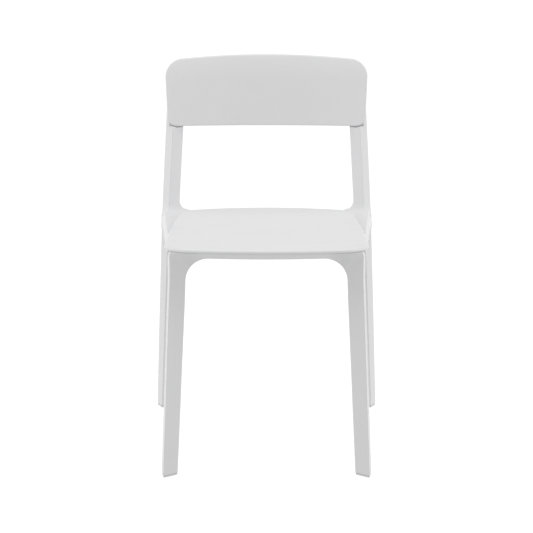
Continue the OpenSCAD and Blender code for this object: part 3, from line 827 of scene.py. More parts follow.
@dataclass
class SeatPanel:
    """The seat: one thin sheet with a shallow dish, a rolled rim, ribs and screw bosses."""

    layout: Layout
    dish: float = 7.0
    edge: float = 4.0
    rib_t: float = 2.6
    rib_h: float = 9.0
    rib_clear: float = 24.5
    rib_inset: float = 20.0
    rib_front: float = 55.0
    rib_rear: float = 30.0
    cross_rib_run: float = 85.0
    tab_t: float = 5.0

    def outline(self, inset: float, side_points: int = 36) -> np.ndarray:
        """The seat's plan, moved in by an inset: four quarter circles and four runs.

        The front edge is then bowed: a point moves back by the bow times (x / half width)^2,
        which fades out towards the seat's middle.

        Args:
            inset: How far it is moved in.
            side_points: Pieces of each run.

        Returns:
            Array of (point, 2).
        """
        lay = self.layout
        wf, wr = lay.seat_w / 2 - inset, lay.seat_rear_w / 2 - inset
        yf, yr = lay.seat_front_y + inset, lay.seat_rear_y - inset
        rf, rr = max(lay.seat_front_r - inset, 5.0), max(lay.seat_rear_r - inset, 3.0)
        t = between(0.0, 1.0, side_points)
        side = stack(mix(wr, wf, 1 - (1 - t) ** 2), mix(yr - rr, yf + rf, t))
        plan = np.concatenate(
            [
                arc([wr - rr, yr - rr], rr, 0),
                stack(between(wr - rr, rr - wr, side_points), yr),
                arc([rr - wr, yr - rr], rr, 90),
                side * [-1, 1],
                arc([rf - wf, yf + rf], rf, 180),
                stack(between(rf - wf, wf - rf, side_points), yf),
                arc([wf - rf, yf + rf], rf, 270),
                side[::-1],
            ]
        )
        fade = 1 - ease((plan[:, 1] - lay.seat_front_y) / (lay.seat_d / 2))
        return stack(plan[:, 0], plan[:, 1] + lay.seat_bow * (plan[:, 0] / (lay.seat_w / 2)) ** 2 * fade)

    def face_z(self, x: Any, y: Any) -> Any:
        """The upper face: the seat's height less a dish that fades out as (1-|u|^2.4)(1-|v|^2.2).

        Args:
            x: Across.
            y: Front to back.

        Returns:
            The face's height there.
        """
        lay = self.layout
        u = np.abs(x / lay.seat_half_w(y))
        v = np.abs((y - (lay.seat_front_y + lay.seat_rear_y) / 2) / (lay.seat_d / 2) - 0.1)
        return lay.seat_h - self.dish * clamp(1 - u**2.4) * clamp(1 - v**2.2 / 1.2)

    def ring(self, inset: float, drop: float) -> np.ndarray:
        """Returns the outline moved in by an inset, a drop below the upper face."""
        p = self.outline(inset)
        return stack(p[:, 0], p[:, 1], self.face_z(p[:, 0], p[:, 1]) - drop)

    def inner_ring(self, share: float, drop: float) -> np.ndarray:
        """Returns the outline shrunk about the seat's middle, a drop below the upper face."""
        p = self.outline(16.0)
        middle = (self.layout.seat_front_y + self.layout.seat_rear_y) / 2
        x, y = p[:, 0] * share, middle + (p[:, 1] - middle) * share
        return stack(x, y, self.face_z(x, y) - drop)

    def sheet(self) -> bpy.types.Object:
        """Returns the sheet and its rim, lofted out over the top and back in underneath."""
        lay, wall = self.layout, self.layout.seat_wall
        shares = [0.01, *np.linspace(0.08, 1.0, 14)]
        angles = np.radians(np.linspace(0.0, 90.0, 10))
        rim = [self.ring(self.edge * (1 - np.sin(a)), self.edge * (1 - np.cos(a))) for a in angles]
        lip = []
        for inset, lift in [(0.3, 1.2), (0.5, 0.4), (1.0, 0.0), (3.2, 0.0), (3.6, 0.3)]:
            p = self.outline(inset)
            lip.append(stack(p[:, 0], p[:, 1], lay.ledge_z + lift))
        rings = [self.inner_ring(s, 0.0) for s in shares] + rim + lip
        rings += [self.ring(4.4, wall + 1), self.ring(5.6, wall + 0.2)]
        rings += [self.inner_ring(s, wall) for s in shares[::-1]]
        return loft("seat_shell_skin", np.array(rings))

    def rib(self, name: str, start: Sequence[float], end: Sequence[float]) -> bpy.types.Object:
        """A straight rib under the sheet, whose lower edge follows the dish.

        Args:
            name: The rib's name.
            start: One end in plan.
            end: The other end in plan.

        Returns:
            The rib, a loft of drafted sections along its length.
        """
        a, b = np.asarray(start, float), np.asarray(end, float)
        along = (b - a) / np.linalg.norm(b - a)
        across = np.array([-along[1], along[0]]) * self.rib_t / 2
        p = a + np.linspace(0, 1, 21)[:, None] * (b - a)
        top = self.face_z(p[:, 0], p[:, 1]) - self.layout.seat_wall / 2
        low = top - self.rib_h
        section = [(-1.2, top), (1.2, top), (0.9, low + 0.6), (0.5, low), (-0.5, low), (-0.9, low + 0.6)]
        rings = [stack(p[:, 0] + across[0] * q, p[:, 1] + across[1] * q, z) for q, z in section]
        return loft(name, np.stack(rings, axis=1))

    def bosses(self) -> tuple[list[bpy.types.Object], list[bpy.types.Object]]:
        """Returns the four screw bosses and the four pilot holes."""
        lay = self.layout
        posts, holes = [], []
        foot = lay.tab_z + self.tab_t
        for side in Side:
            for y in lay.seat_screw_ys:
                x = side.value * lay.seat_screw_x(y)
                top = float(self.face_z(x, y)) - lay.seat_wall / 2
                posts.append(rod(f"boss_{side.name}_{y:.0f}", [x, y, foot], [0, 0, top - foot], 5.5))
                depth = lay.ledge_z - lay.tab_z - 1
                start = [x, y, lay.tab_z]
                holes.append(rod(f"pilot_{side.name}_{y:.0f}", start, [0, 0, depth], lay.pilot_r))
        return posts, holes

    def build(self, finishes: Finishes) -> None:
        """Makes the seat panel and dresses it.

        Args:
            finishes: The chair's materials.
        """
        lay = self.layout
        panel = self.sheet()
        ledges = lay.seat_w / 2 - lay.ledge_front_w, lay.seat_rear_w / 2 - lay.ledge_rear_w
        reach = min(ledges) - self.rib_clear
        front, rear = lay.seat_front_y + self.rib_front, lay.seat_rear_y - self.rib_rear
        ribs = [
            self.rib(f"rib_x{i}", [x, front], [x, rear])
            for i, x in enumerate(np.linspace(self.rib_inset - reach, reach - self.rib_inset, 5))
        ]
        first, last = lay.seat_front_y + self.cross_rib_run, lay.seat_rear_y - self.cross_rib_run
        ribs += [
            self.rib(f"rib_y{i}", [-reach, y], [reach, y]) for i, y in enumerate(np.linspace(first, last, 4))
        ]
        posts, holes = self.bosses()
        combine(panel, ribs + posts, Join.ADD)
        combine(panel, holes, Join.CUT)
        finish_skin(panel)
        place(panel, ["seat_shell"], "panel_plastic", finishes.pebbled)


# ---------- Backrest ----------


@dataclass
class BackPanel:
    """The backrest: a low, swept panel with an arched top, rolled back along its upper edge."""

    layout: Layout
    droop: float = 2.5
    corner_r: float = 33.0
    low_corner_r: float = 20.0
    edge: float = 2.5

    def outline(self, inset: float, side_points: int = 48) -> np.ndarray:
        """The backrest's front view, moved in by an inset.

        A rectangle with four quarter circles is bent: heights above the middle rise, and those
        below it fall, in proportion to 1 - (x / half width)^2.

        Args:
            inset: How far it is moved in.
            side_points: Pieces of the upper and the lower run.

        Returns:
            Array of (x, z).
        """
        lay = self.layout
        half, low = lay.back_w / 2 - inset, lay.back_w / 2 - 4 - inset
        top, bottom = lay.back_top_z - inset, lay.back_bottom_z + inset
        rt, rb = max(self.corner_r - inset, 4.0), max(self.low_corner_r - inset, 4.0)
        p = np.concatenate(
            [
                arc([half - rt, top - rt], rt, 0),
                stack(between(half - rt, rt - half, side_points), top),
                arc([rt - half, top - rt], rt, 90),
                stack(between(-half, -low, 8), between(top - rt, bottom + rb, 8)),
                arc([rb - low, bottom + rb], rb, 180),
                stack(between(rb - low, low - rb, side_points), bottom),
                arc([low - rb, bottom + rb], rb, 270),
                stack(between(low, half, 8), between(bottom + rb, top - rt, 8)),
            ]
        )
        bow = 1 - (p[:, 0] / (lay.back_w / 2)) ** 2
        up = (p[:, 1] - lay.back_mid_z) / (lay.back_h / 2)
        return stack(p[:, 0], p[:, 1] + bow * np.where(up > 0, lay.back_arch, self.droop) * up)

    def ring(self, inset: float, set_back: float) -> np.ndarray:
        """Returns the outline moved in by an inset, set back from the front face."""
        p = self.outline(inset)
        return stack(p[:, 0], self.layout.back_face_y(p[:, 0], p[:, 1]) + set_back, p[:, 1])

    def inner_ring(self, share: float, set_back: float) -> np.ndarray:
        """Returns the outline shrunk about the backrest's middle, set back from the front face."""
        p, middle = self.outline(6.0), self.layout.back_mid_z
        x, z = p[:, 0] * share, middle + (p[:, 1] - middle) * share
        return stack(x, self.layout.back_face_y(x, z) + set_back, z)

    def build(self, finishes: Finishes) -> None:
        """Makes the backrest and dresses it.

        Args:
            finishes: The chair's materials.
        """
        lay = self.layout
        shares = [0.01, *np.linspace(0.07, 0.99, 15)]
        turn = np.radians(np.linspace(0.0, 180.0, 15))
        edge = [
            self.ring(self.edge * (1 - np.sin(a)), mix(0.0, lay.back_wall, (1 - np.cos(a)) / 2)) for a in turn
        ]
        rings = [self.inner_ring(s, 0.0) for s in shares] + edge
        rings += [self.inner_ring(s, lay.back_wall) for s in shares[::-1]]
        panel = loft("backrest_skin", np.array(rings))
        holes = []
        for side in Side:
            for z in lay.back_screw_zs:
                x = side.value * lay.back_screw_x
                y = float(lay.back_face_y(x, z)) + 2.5
                holes.append(rod(f"pilot_{side.name}_{z:.0f}", [x, y, z], [0, 20, 0], lay.pilot_r))
        combine(panel, holes, Join.CUT)
        finish_skin(panel)
        place(panel, ["backrest_shell"], "panel_plastic", finishes.pebbled)


# ---------- Front frame ----------


@dataclass
class FrontFrame:
    """The two front legs and the apron, one arch of a ridged section."""

    layout: Layout
    foot_w: float = 417.0
    leg_w: float = 33.0
    apron_r: float = 46.0
    apron_h: float = 15.0
    ridge_set: float = 5.0
    foot_r: float = 2.5

    @property
    def apron_top_z(self) -> float:
        """Returns the apron's upper edge."""
        return self.layout.ledge_z - self.layout.gap

    @property
    def arc_z(self) -> float:
        """Returns the height of the corner arcs' centres."""
        return self.apron_top_z - self.apron_h - self.apron_r

    @property
    def arc_x(self) -> float:
        """Returns how far out the corner arcs' centres lie."""
        return float(self.inner_x(self.arc_z)) - self.apron_r

    def outer_x(self, z: Any) -> Any:
        """Returns a leg's outer line."""
        lay = self.layout
        return mix(self.foot_w / 2, lay.front_top_half, z / lay.seat_h)

    def inner_x(self, z: Any) -> Any:
        """Returns a leg's inner line."""
        return self.outer_x(z) - self.leg_w - 0.01 * z

    def apron_bow(self, x: Any, z: Any) -> Any:
        """How far the apron comes forward, to follow the seat's front edge; it fades out down the legs.

        Args:
            x: Across.
            z: Height.

        Returns:
            The distance forward.
        """
        lay = self.layout
        half = lay.front_top_half
        ahead = lay.seat_front_set(half) - lay.seat_front_set(np.minimum(np.abs(x), half))
        return ahead * ease((z - self.arc_z + 60) / (self.apron_r + 60))

    def sections(self, outer: np.ndarray, inner: np.ndarray, turn: Any) -> np.ndarray:
        """Sections between outer and inner points of the front view.

        Each has a crisp front ridge near the outside, a face that falls back to the inner edge,
        and a rounded back. The numbers below are distances in from the outer point, and depths
        behind the ridge, which leans back with height.

        Args:
            outer: Outer points (x, z).
            inner: Inner points (x, z).
            turn: 0 on a leg, 1 on the apron.

        Returns:
            Rings of (ring, point, 3).
        """
        lay = self.layout
        turn = np.broadcast_to(np.asarray(turn, float), (len(outer),))
        across = inner - outer
        wide = np.linalg.norm(across, axis=1)
        way = across / wide[:, None]
        deep = lay.front_leg_d
        corners = np.stack(
            [
                stack(0.0, mix(22.0, 10.0, turn)),
                stack(mix(self.ridge_set, 0.6, ease((turn - 0.2) / 0.25)), 0.0),
                stack(wide, 20.0),
                stack(wide - mix(9.0, 1.0, turn), deep),
                stack(mix(6.0, 1.0, turn), deep),
            ],
            axis=1,
        )
        p = rounded(corners, [4, 1.5, 3, 7, 7])
        y = lay.front_y + lay.front_lean * outer[:, 1] + 5 * turn
        x = outer[:, None, 0] + way[:, None, 0] * p[..., 0]
        z = outer[:, None, 1] + way[:, None, 1] * p[..., 0]
        return stack(x, y[:, None] + p[..., 1] - self.apron_bow(x, z), z)

    def leg_rings(self, z: np.ndarray) -> np.ndarray:
        """Returns a leg's sections at the heights z."""
        return self.sections(stack(self.outer_x(z), z), stack(self.inner_x(z), z), 0.0)

    def corner_rings(self, a: np.ndarray) -> np.ndarray:
        """Sections round the corner between a leg and the apron.

        The inner line is a circle, and the outer one the squarish curve
        |cos a / w|^12 + |sin a / h|^12 = 1 / reach^12.

        Args:
            a: Angles in degrees, 0 at the leg and 90 at the apron.

        Returns:
            The rings.
        """
        c, s = np.cos(np.radians(a)), np.sin(np.radians(a))
        w = float(self.outer_x(self.arc_z)) - self.arc_x
        h = self.apron_top_z - self.arc_z
        reach = (np.abs(c / w) ** 12 + np.abs(s / h) ** 12) ** (-1 / 12)
        outer = stack(self.arc_x + reach * c, self.arc_z + reach * s)
        inner = stack(self.arc_x + self.apron_r * c, self.arc_z + self.apron_r * s)
        return self.sections(outer, inner, ease(a / 90))

    def foot_middle(self) -> np.ndarray:
        """Returns the middle of the left foot's section."""
        z = np.array([self.layout.glide_h])
        return self.leg_rings(z)[0].mean(axis=0)

    def arch(self) -> bpy.types.Object:
        """Returns legs and apron as one loft from foot to foot."""
        lay = self.layout
        end = rounded_end(lay.glide_h, self.foot_r)
        z = np.concatenate([end, np.linspace(end[-1] + 4, self.arc_z, 30)[:-1]])
        legs = drawn_in(self.leg_rings(z), round_over(z - lay.glide_h, self.foot_r))
        corner = self.corner_rings(np.linspace(0.0, 90.0, 37))
        x = np.linspace(self.arc_x, 0.0, 13)[1:]
        top, bottom = self.apron_top_z, self.apron_top_z - self.apron_h
        apron = self.sections(stack(x, top), stack(x, bottom), 1.0)
        half = np.concatenate([legs, corner, apron])
        return loft("front_frame_skin", np.concatenate([half, mirrored(half[-2::-1], Side.RIGHT)]))

    def build(self, finishes: Finishes) -> None:
        """Makes the front frame, with its shoulders and its stem and insert holes, and dresses it.

        Args:
            finishes: The chair's materials.
        """
        lay = self.layout
        piece = self.arch()
        shoulders, holes = [], []
        stem = self.foot_middle()
        for side in Side:
            y = np.linspace(lay.front_joint_y - 20, lay.front_joint_y, 6)
            rings = drawn_in(lay.rail_rings(np.full(6, lay.front_joint_y)), np.full(6, 1.2))
            rings[..., 1] = y[:, None]
            shoulders.append(loft(f"shoulder_{side.name}", mirrored(rings, side)))
            foot = [side.value * stem[0], stem[1], -1.0]
            holes.append(rod(f"stem_hole_{side.name}", foot, [0, 0, lay.stem_hole_depth], lay.stem_hole_r))
            for i, (x, z) in enumerate(lay.joint_bolts(lay.front_joint_y)):
                start = [side.value * x, lay.front_joint_y - 18, z]
                holes.append(rod(f"insert_hole_{side.name}_{i}", start, [0, 19, 0], lay.insert_hole_r))
        combine(piece, shoulders, Join.ADD)
        combine(piece, holes, Join.CUT)
        finish_skin(piece)
        place(piece, ["front_frame"], "frame_plastic", finishes.satin)


# ---------- Side rails ----------


@dataclass
class SideRail:
    """A rail under the seat's side: hollow underneath, with two tabs for the seat's screws."""

    layout: Layout
    side: Side
    wall: float = 3.2
    end_wall: float = 11.0
    tab_t: float = 5.0
    tab_r: float = 10.0

    def channel(self) -> bpy.types.Object:
        """Returns the hollow underneath, between the two end walls."""
        lay = self.layout
        y = np.linspace(lay.front_joint_y + self.end_wall, lay.rear_joint_y - self.end_wall, 12)
        inner, outer = lay.rail_inner_x(y) + self.wall, lay.rail_outer_x(y) - self.wall - 1
        low, top = lay.rail_bottom_z - 1, lay.rail_bottom_z - 1 + lay.rail_h - self.wall
        corners = np.stack([stack(inner, low), stack(outer, low), stack(outer, top), stack(inner, top)], 1)
        section = rounded(corners, [0.5, 0.5, 3, 3], 3)
        rings = stack(section[..., 0], y[:, None], section[..., 1])
        return loft(f"channel_{self.side.name}", mirrored(rings, self.side))

    def tab(self, y: float) -> bpy.types.Object:
        """A flat tab round one seat screw: a half circle carried back into the rail.

        Args:
            y: Where the screw sits.

        Returns:
            The tab, lofted up through its thickness with rounded edges.
        """
        lay, r = self.layout, self.tab_r
        x0, x1 = lay.seat_screw_x(y), float(lay.rail_inner_x(y)) + 4
        a = np.radians(np.linspace(75, 285, 33))
        plan = np.concatenate(
            [np.array([[x1, y - 17], [x1, y + 17]]), stack(x0 + r * np.cos(a), y + r * np.sin(a))]
        )
        z = np.array([0.0, 0.25, 0.8, 4.2, 4.75, 5.0]) * self.tab_t / 5
        rings = stack(plan[None, :, 0], plan[None, :, 1], lay.tab_z + z[:, None])
        return loft(f"tab_{y:.0f}", mirrored(drawn_in(rings, [0.8, 0.25, 0, 0, 0.25, 0.8]), self.side))

    def build(self, finishes: Finishes) -> None:
        """Makes the rail and dresses it.

        Args:
            finishes: The chair's materials.
        """
        lay = self.layout
        word = self.side.name.lower()
        y = np.linspace(lay.front_joint_y, lay.rear_joint_y, 40)
        rail = loft(f"{word}_side_rail_skin", mirrored(lay.rail_rings(y), self.side))
        combine(rail, [self.channel()], Join.CUT)
        combine(rail, [self.tab(ys) for ys in lay.seat_screw_ys], Join.ADD)
        holes = []
        for i, ys in enumerate(lay.seat_screw_ys):
            start = [self.side.value * lay.seat_screw_x(ys), ys, lay.tab_z - 1]
            holes.append(rod(f"tab_hole_{i}", start, [0, 0, self.tab_t + 2], (lay.screw_d + lay.gap) / 2))
        for joint, back in ((lay.front_joint_y, -1.0), (lay.rear_joint_y, -self.end_wall - 1)):
            for i, (x, z) in enumerate(lay.joint_bolts(joint)):
                start = [self.side.value * x, joint + back, z]
                radius = (lay.bolt_d + lay.gap) / 2
                holes.append(rod(f"bolt_hole_{joint:.0f}_{i}", start, [0, self.end_wall + 2, 0], radius))
        combine(rail, holes, Join.CUT)
        finish_skin(rail)
        place(rail, [f"{word}_side_rail"], "frame_plastic", finishes.satin)


# ---------- Rear frame ----------


@dataclass
class RearFrame:
    """Two rear legs that bend into posts, the cross rail between them, and the rails' stubs."""

    layout: Layout
    leg_d: float = 38.0
    knee_r: float = 22.0
    foot_r: float = 2.5
    tip_r: float = 9.0
    cap_d: float = 10.0

    def ridge_y(self, z: Any) -> Any:
        """Returns the ridge in side view: back down the leg, and back up the post."""
        lay = self.layout
        foot = lay.front_y + lay.foot_spacing_d
        return np.where(
            z < lay.bend_z,
            foot + (lay.knee_y - foot) * z / lay.bend_z,
            lay.knee_y + lay.post_lean * (z - lay.bend_z),
        )

    def swell(self, z: np.ndarray, low: float, high: float) -> np.ndarray:
        """A fillet's reach beside a rail: r on the rail, and r - sqrt(r^2 - (r-d)^2) at d from it.

        Args:
            z: Heights.
            low: The rail's underside.
            high: The rail's top.

        Returns:
            How far the leg swells.
        """
        away = np.maximum(np.maximum(low - z, z - high), 0.0)
        return round_over(away, self.knee_r)

    def rings(self, z: np.ndarray) -> np.ndarray:
        """Sections of the left leg and post, with the fillets beside the rails.

        Args:
            z: Heights.

        Returns:
            Rings of (ring, point, 3).
        """
        lay = self.layout
        outer, ridge, inner = lay.rear_outer_x(z), lay.rear_ridge_x(z), lay.rear_inner_x(z)
        y = self.ridge_y(z)
        ahead = self.swell(z, lay.rail_bottom_z, lay.ledge_z - 0.8)
        beside = self.swell(z, lay.rail_bottom_z, lay.ledge_z + 5)
        thin = ease((z - lay.back_bottom_z) / (lay.post_top_z - lay.back_bottom_z))
        deep = self.leg_d - 6 * clamp(z / lay.back_top_z) - 6 * thin
        corners = np.stack(
            [
                stack(ridge, y - ahead),
                stack(outer, y + mix(23.0, 15.0, clamp(z / lay.back_bottom_z)) - ahead * 0.9),
                stack(outer - 6, y + deep),
                stack(inner + 8 - beside, y + deep),
                stack(inner - beside, y + 17 - ahead * 0.5),
            ],
            axis=1,
        )
        p = rounded(corners, [1.5, 4, 7, 7, 3])
        return stack(p[..., 0], p[..., 1], z[:, None])

    def foot_middle(self) -> np.ndarray:
        """Returns the middle of the left foot's section."""
        return self.rings(np.array([self.layout.glide_h]))[0].mean(axis=0)

    def heights(self) -> np.ndarray:
        """Returns the heights of the sections, closest together where the shape turns."""
        lay = self.layout
        low, high = lay.rail_bottom_z, lay.ledge_z + 5
        fillet = self.knee_r * (1 - np.cos(np.radians(np.linspace(0, 90, 13))))
        return np.concatenate(
            [
                rounded_end(lay.glide_h, self.foot_r),
                np.linspace(12, low - self.knee_r, 26)[:-1],
                low - fillet[::-1],
                lay.ledge_z - 0.8 + fillet[:6],
                high + fillet,
                np.linspace(high + self.knee_r, lay.back_bottom_z, 12)[1:],
                np.linspace(lay.back_bottom_z, lay.post_top_z - self.tip_r, 12)[1:],
                lay.post_top_z + self.tip_r - rounded_end(0.0, self.tip_r)[::-1][1:] - self.tip_r,
            ]
        )

    def post(self, side: Side) -> bpy.types.Object:
        """Returns one leg and post, with its foot's edge and its tip rounded over."""
        lay = self.layout
        z = self.heights()
        inset = round_over(z - lay.glide_h, self.foot_r) + round_over(lay.post_top_z - z, self.tip_r)
        return loft(f"post_{side.name}", mirrored(drawn_in(self.rings(z), inset), side))

    def cross_rail(self) -> bpy.types.Object:
        """Returns the cross rail, whose upper rear edge bows back and up as 1 - (x / half)^2."""
        lay = self.layout
        half = float(lay.rear_inner_x(lay.ledge_z)) + 8
        x = np.linspace(-half, half, 81)
        bow = 1 - (x / (half - 14)) ** 2
        back, top = lay.seat_rear_y + 36.5 + 20 * bow, lay.seat_h - 2.2 + 3 * bow
        face = lay.seat_rear_y + 1 + 13 * ease((np.abs(x) - lay.seat_rear_w / 2 + 12) / 14)
        low = lay.rail_bottom_z
        corners = np.stack(
            [
                stack(face, lay.ledge_z + 3.5),
                stack(back, top),
                stack(back - 5, low + 2),
                stack(back - 18, low),
                stack(face + 6, low + 8),
                stack(face, lay.ledge_z - 6),
            ],
            axis=1,
        )
        p = rounded(corners, [2, 4, 5, 5, 4, 3])
        return loft("rear_frame_skin", stack(x[:, None], p[..., 0], p[..., 1]))

    def seat_for_back(self) -> bpy.types.Object:
        """Returns the space of the backrest and what is in front of it, which cuts the posts."""
        lay = self.layout
        x = np.linspace(-lay.back_w / 2 - 6, lay.back_w / 2 + 6, 61)
        low = lay.back_bottom_z - lay.gap - np.where(np.abs(x) < lay.back_w / 2 - 18, 3.0, 0.0)
        top, front = lay.overall_h + 5, lay.back_limit_y - 114
        z = low[:, None] + np.linspace(0, 1, 33) * (top - low)[:, None]
        y = lay.back_face_y(x[:, None], z) + lay.back_wall + lay.gap
        face = stack(x[:, None], y, z)
        corners = np.stack([stack(x, front, top), stack(x, front, low)], axis=1)
        return loft("back_space", np.concatenate([face, corners], axis=1))

    def holes(self, side: Side) -> list[bpy.types.Object]:
        """Returns the stem hole, the insert holes and the backrest's screw holes of one side."""
        lay = self.layout
        stem, sign = self.foot_middle(), side.value
        foot = [sign * stem[0], stem[1], -1]
        rods = [rod(f"stem_{side.name}", foot, [0, 0, lay.stem_hole_depth], lay.stem_hole_r)]
        for i, (x, z) in enumerate(lay.joint_bolts(lay.rear_joint_y)):
            start = [sign * x, lay.rear_joint_y - 1, z]
            rods.append(rod(f"insert_{side.name}_{i}", start, [0, 15, 0], lay.insert_hole_r))
        for z in lay.back_screw_zs:
            bearing = [sign * lay.back_screw_x, self.screw_seat_y(z), z]
            rods.append(rod(f"cap_{side.name}_{z:.0f}", bearing, [0, 20, 0], (self.cap_d + lay.gap) / 2))
            start = [bearing[0], bearing[1] - 40, z]
            rods.append(rod(f"shank_{side.name}_{z:.0f}", start, [0, 41, 0], (lay.screw_d + lay.gap) / 2))
        return rods

    def screw_seat_y(self, z: float) -> float:
        """Returns the plane that a backrest screw's head bears on."""
        return float(self.rings(np.array([z]))[0, :, 1].max()) - 8

    def build(self, finishes: Finishes) -> None:
        """Makes the rear frame as one moulding and dresses it.

        Args:
            finishes: The chair's materials.
        """
        lay = self.layout
        piece = self.cross_rail()
        y = np.linspace(lay.rear_joint_y, lay.knee_y + 8, 12)
        stubs = [loft(f"stub_{side.name}", mirrored(lay.rail_rings(y), side)) for side in Side]
        combine(piece, [self.post(side) for side in Side] + stubs, Join.ADD)
        cuts = [self.seat_for_back()]
        for side in Side:
            cuts += self.holes(side)
        combine(piece, cuts, Join.CUT)
        finish_skin(piece)
        place(piece, ["rear_frame"], "frame_plastic", finishes.satin)


# ---------- Small pieces ----------


@dataclass
class Glide:
    """A foot's glide: a sole of the foot's own section, worn round, on a stem."""

    layout: Layout
    node: str
    foot: np.ndarray
    side: Side
    edge: float = 3.0
    share: float = 0.97

    def build(self, finishes: Finishes) -> None:
        """Makes the glide and dresses it.

        Args:
            finishes: The chair's materials.
        """
        lay = self.layout
        middle = self.foot.mean(axis=0)
        plan = middle + (self.foot - middle) * self.share
        z = np.concatenate([rounded_end(0.0, self.edge), [lay.glide_h - 0.3, lay.glide_h]])
        rings = np.repeat(plan[None], len(z), axis=0)
        rings[..., 2] = z[:, None]
        inset = round_over(z, self.edge)
        inset[-1] = 0.3
        sole = loft(f"{self.node}_skin", mirrored(drawn_in(rings, inset), self.side))
        start = [self.side.value * middle[0], middle[1], lay.glide_h / 2]
        reach = lay.glide_h / 2 + 26
        profile = np.array([[1.0, 0.0], [1.0, 0.93], [0.94, 0.98], [0.85, 1.0]]) * [lay.stem_d / 2, 1.0]
        combine(sole, [spun(f"{self.node}_stem", start, [0, 0, reach], profile)], Join.ADD)
        finish_skin(sole)
        place(sole, [self.node], "glide_plastic", finishes.polyamide)


@dataclass
class StackPad:
    """A small soft pad under a rail, which carries the next chair of a stack."""

    layout: Layout
    node: str
    y: float
    side: Side
    radius: float = 5.0
    height: float = 4.0
    set_in: float = 16.0

    def build(self, finishes: Finishes) -> None:
        """Makes the pad, a domed button, and dresses it.

        Args:
            finishes: The chair's materials.
        """
        lay = self.layout
        x = float(lay.rail_outer_x(self.y)) - self.set_in
        a = np.radians(np.linspace(0, 90, 9))
        dome = stack(self.radius * (1 - 0.35 * (1 - np.cos(a))), 0.55 + 0.45 * np.sin(a))
        profile = np.concatenate([[[self.radius, 0.0]], dome, [[self.radius * 0.3, 1.0]]])
        start = [self.side.value * x, self.y, lay.rail_bottom_z]
        pad = spun(f"{self.node}_skin", start, [0, 0, -self.height], profile)
        finish_skin(pad)
        place(pad, [self.node], "pad_rubber", finishes.elastomer)


@dataclass
class ScrewCaps:
    """The four low domes that close the screw pockets in the backs of the posts."""

    layout: Layout
    frame: RearFrame
    radius: float = 4.95
    thick: float = 3.0

    def build(self, finishes: Finishes) -> None:
        """Makes the caps as one piece and dresses it.

        Args:
            finishes: The chair's materials.
        """
        lay = self.layout
        a = np.radians(np.linspace(0, 90, 9))
        dome = stack(self.radius * np.cos(a) ** 0.6, 0.55 + 0.45 * np.sin(a))[:-1]
        profile = np.concatenate([[[self.radius * 0.97, 0.0]], dome, [[self.radius * 0.15, 1.0]]])
        caps = []
        for side in Side:
            for z in lay.back_screw_zs:
                y = self.frame.screw_seat_y(z) + 4
                start = [side.value * lay.back_screw_x, y, z]
                caps.append(spun(f"screw_cap_{side.name}_{z:.0f}", start, [0, self.thick, 0], profile))
        combine(caps[0], caps[1:], Join.ADD)
        caps[0].name = "backrest_screw_caps_skin"
        finish_skin(caps[0])
        place(caps[0], ["backrest_screw_caps"], "frame_plastic", finishes.satin)


@dataclass
class Fixings:
    """The screws, bolts and inserts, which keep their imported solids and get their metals."""

    steel: tuple[str, ...] = ("screws", "bolts")
    brass: tuple[str, ...] = ("inserts",)

    def build(self, finishes: Finishes) -> None:
        """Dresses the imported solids.

        Args:
            finishes: The chair's materials.
        """
        for name, obj in frame["nodes"].items():
            metal = None
            if name.endswith(self.steel):
                metal = finishes.zinc
            if name.endswith(self.brass):
                metal = finishes.brass
            if metal:
                obj.data.materials.clear()
                obj.data.materials.append(metal)
                LOG.info("%s: packed solid, %s", name, metal.name)


# ---------- Studio ----------


@dataclass
class Softbox:
    """A square area lamp aimed at a point, which glossy surfaces may or may not mirror."""

    name: str
    place: tuple[float, float, float]
    target: tuple[float, float, float]
    size: float
    watts: float
    in_reflections: bool = True

    def build(self) -> None:
        """Adds the lamp to the scene."""
        data = bpy.data.lights.new(self.name, "AREA")
        data.shape = "SQUARE"
        data.size = self.size
        data.energy = self.watts
        lamp = bpy.data.objects.new(self.name, data)
        lamp.visible_glossy = self.in_reflections
        lamp.location = self.place
        lamp.rotation_euler = (Vector(self.target) - Vector(self.place)).to_track_quat("-Z", "Y").to_euler()
        bpy.context.scene.collection.objects.link(lamp)


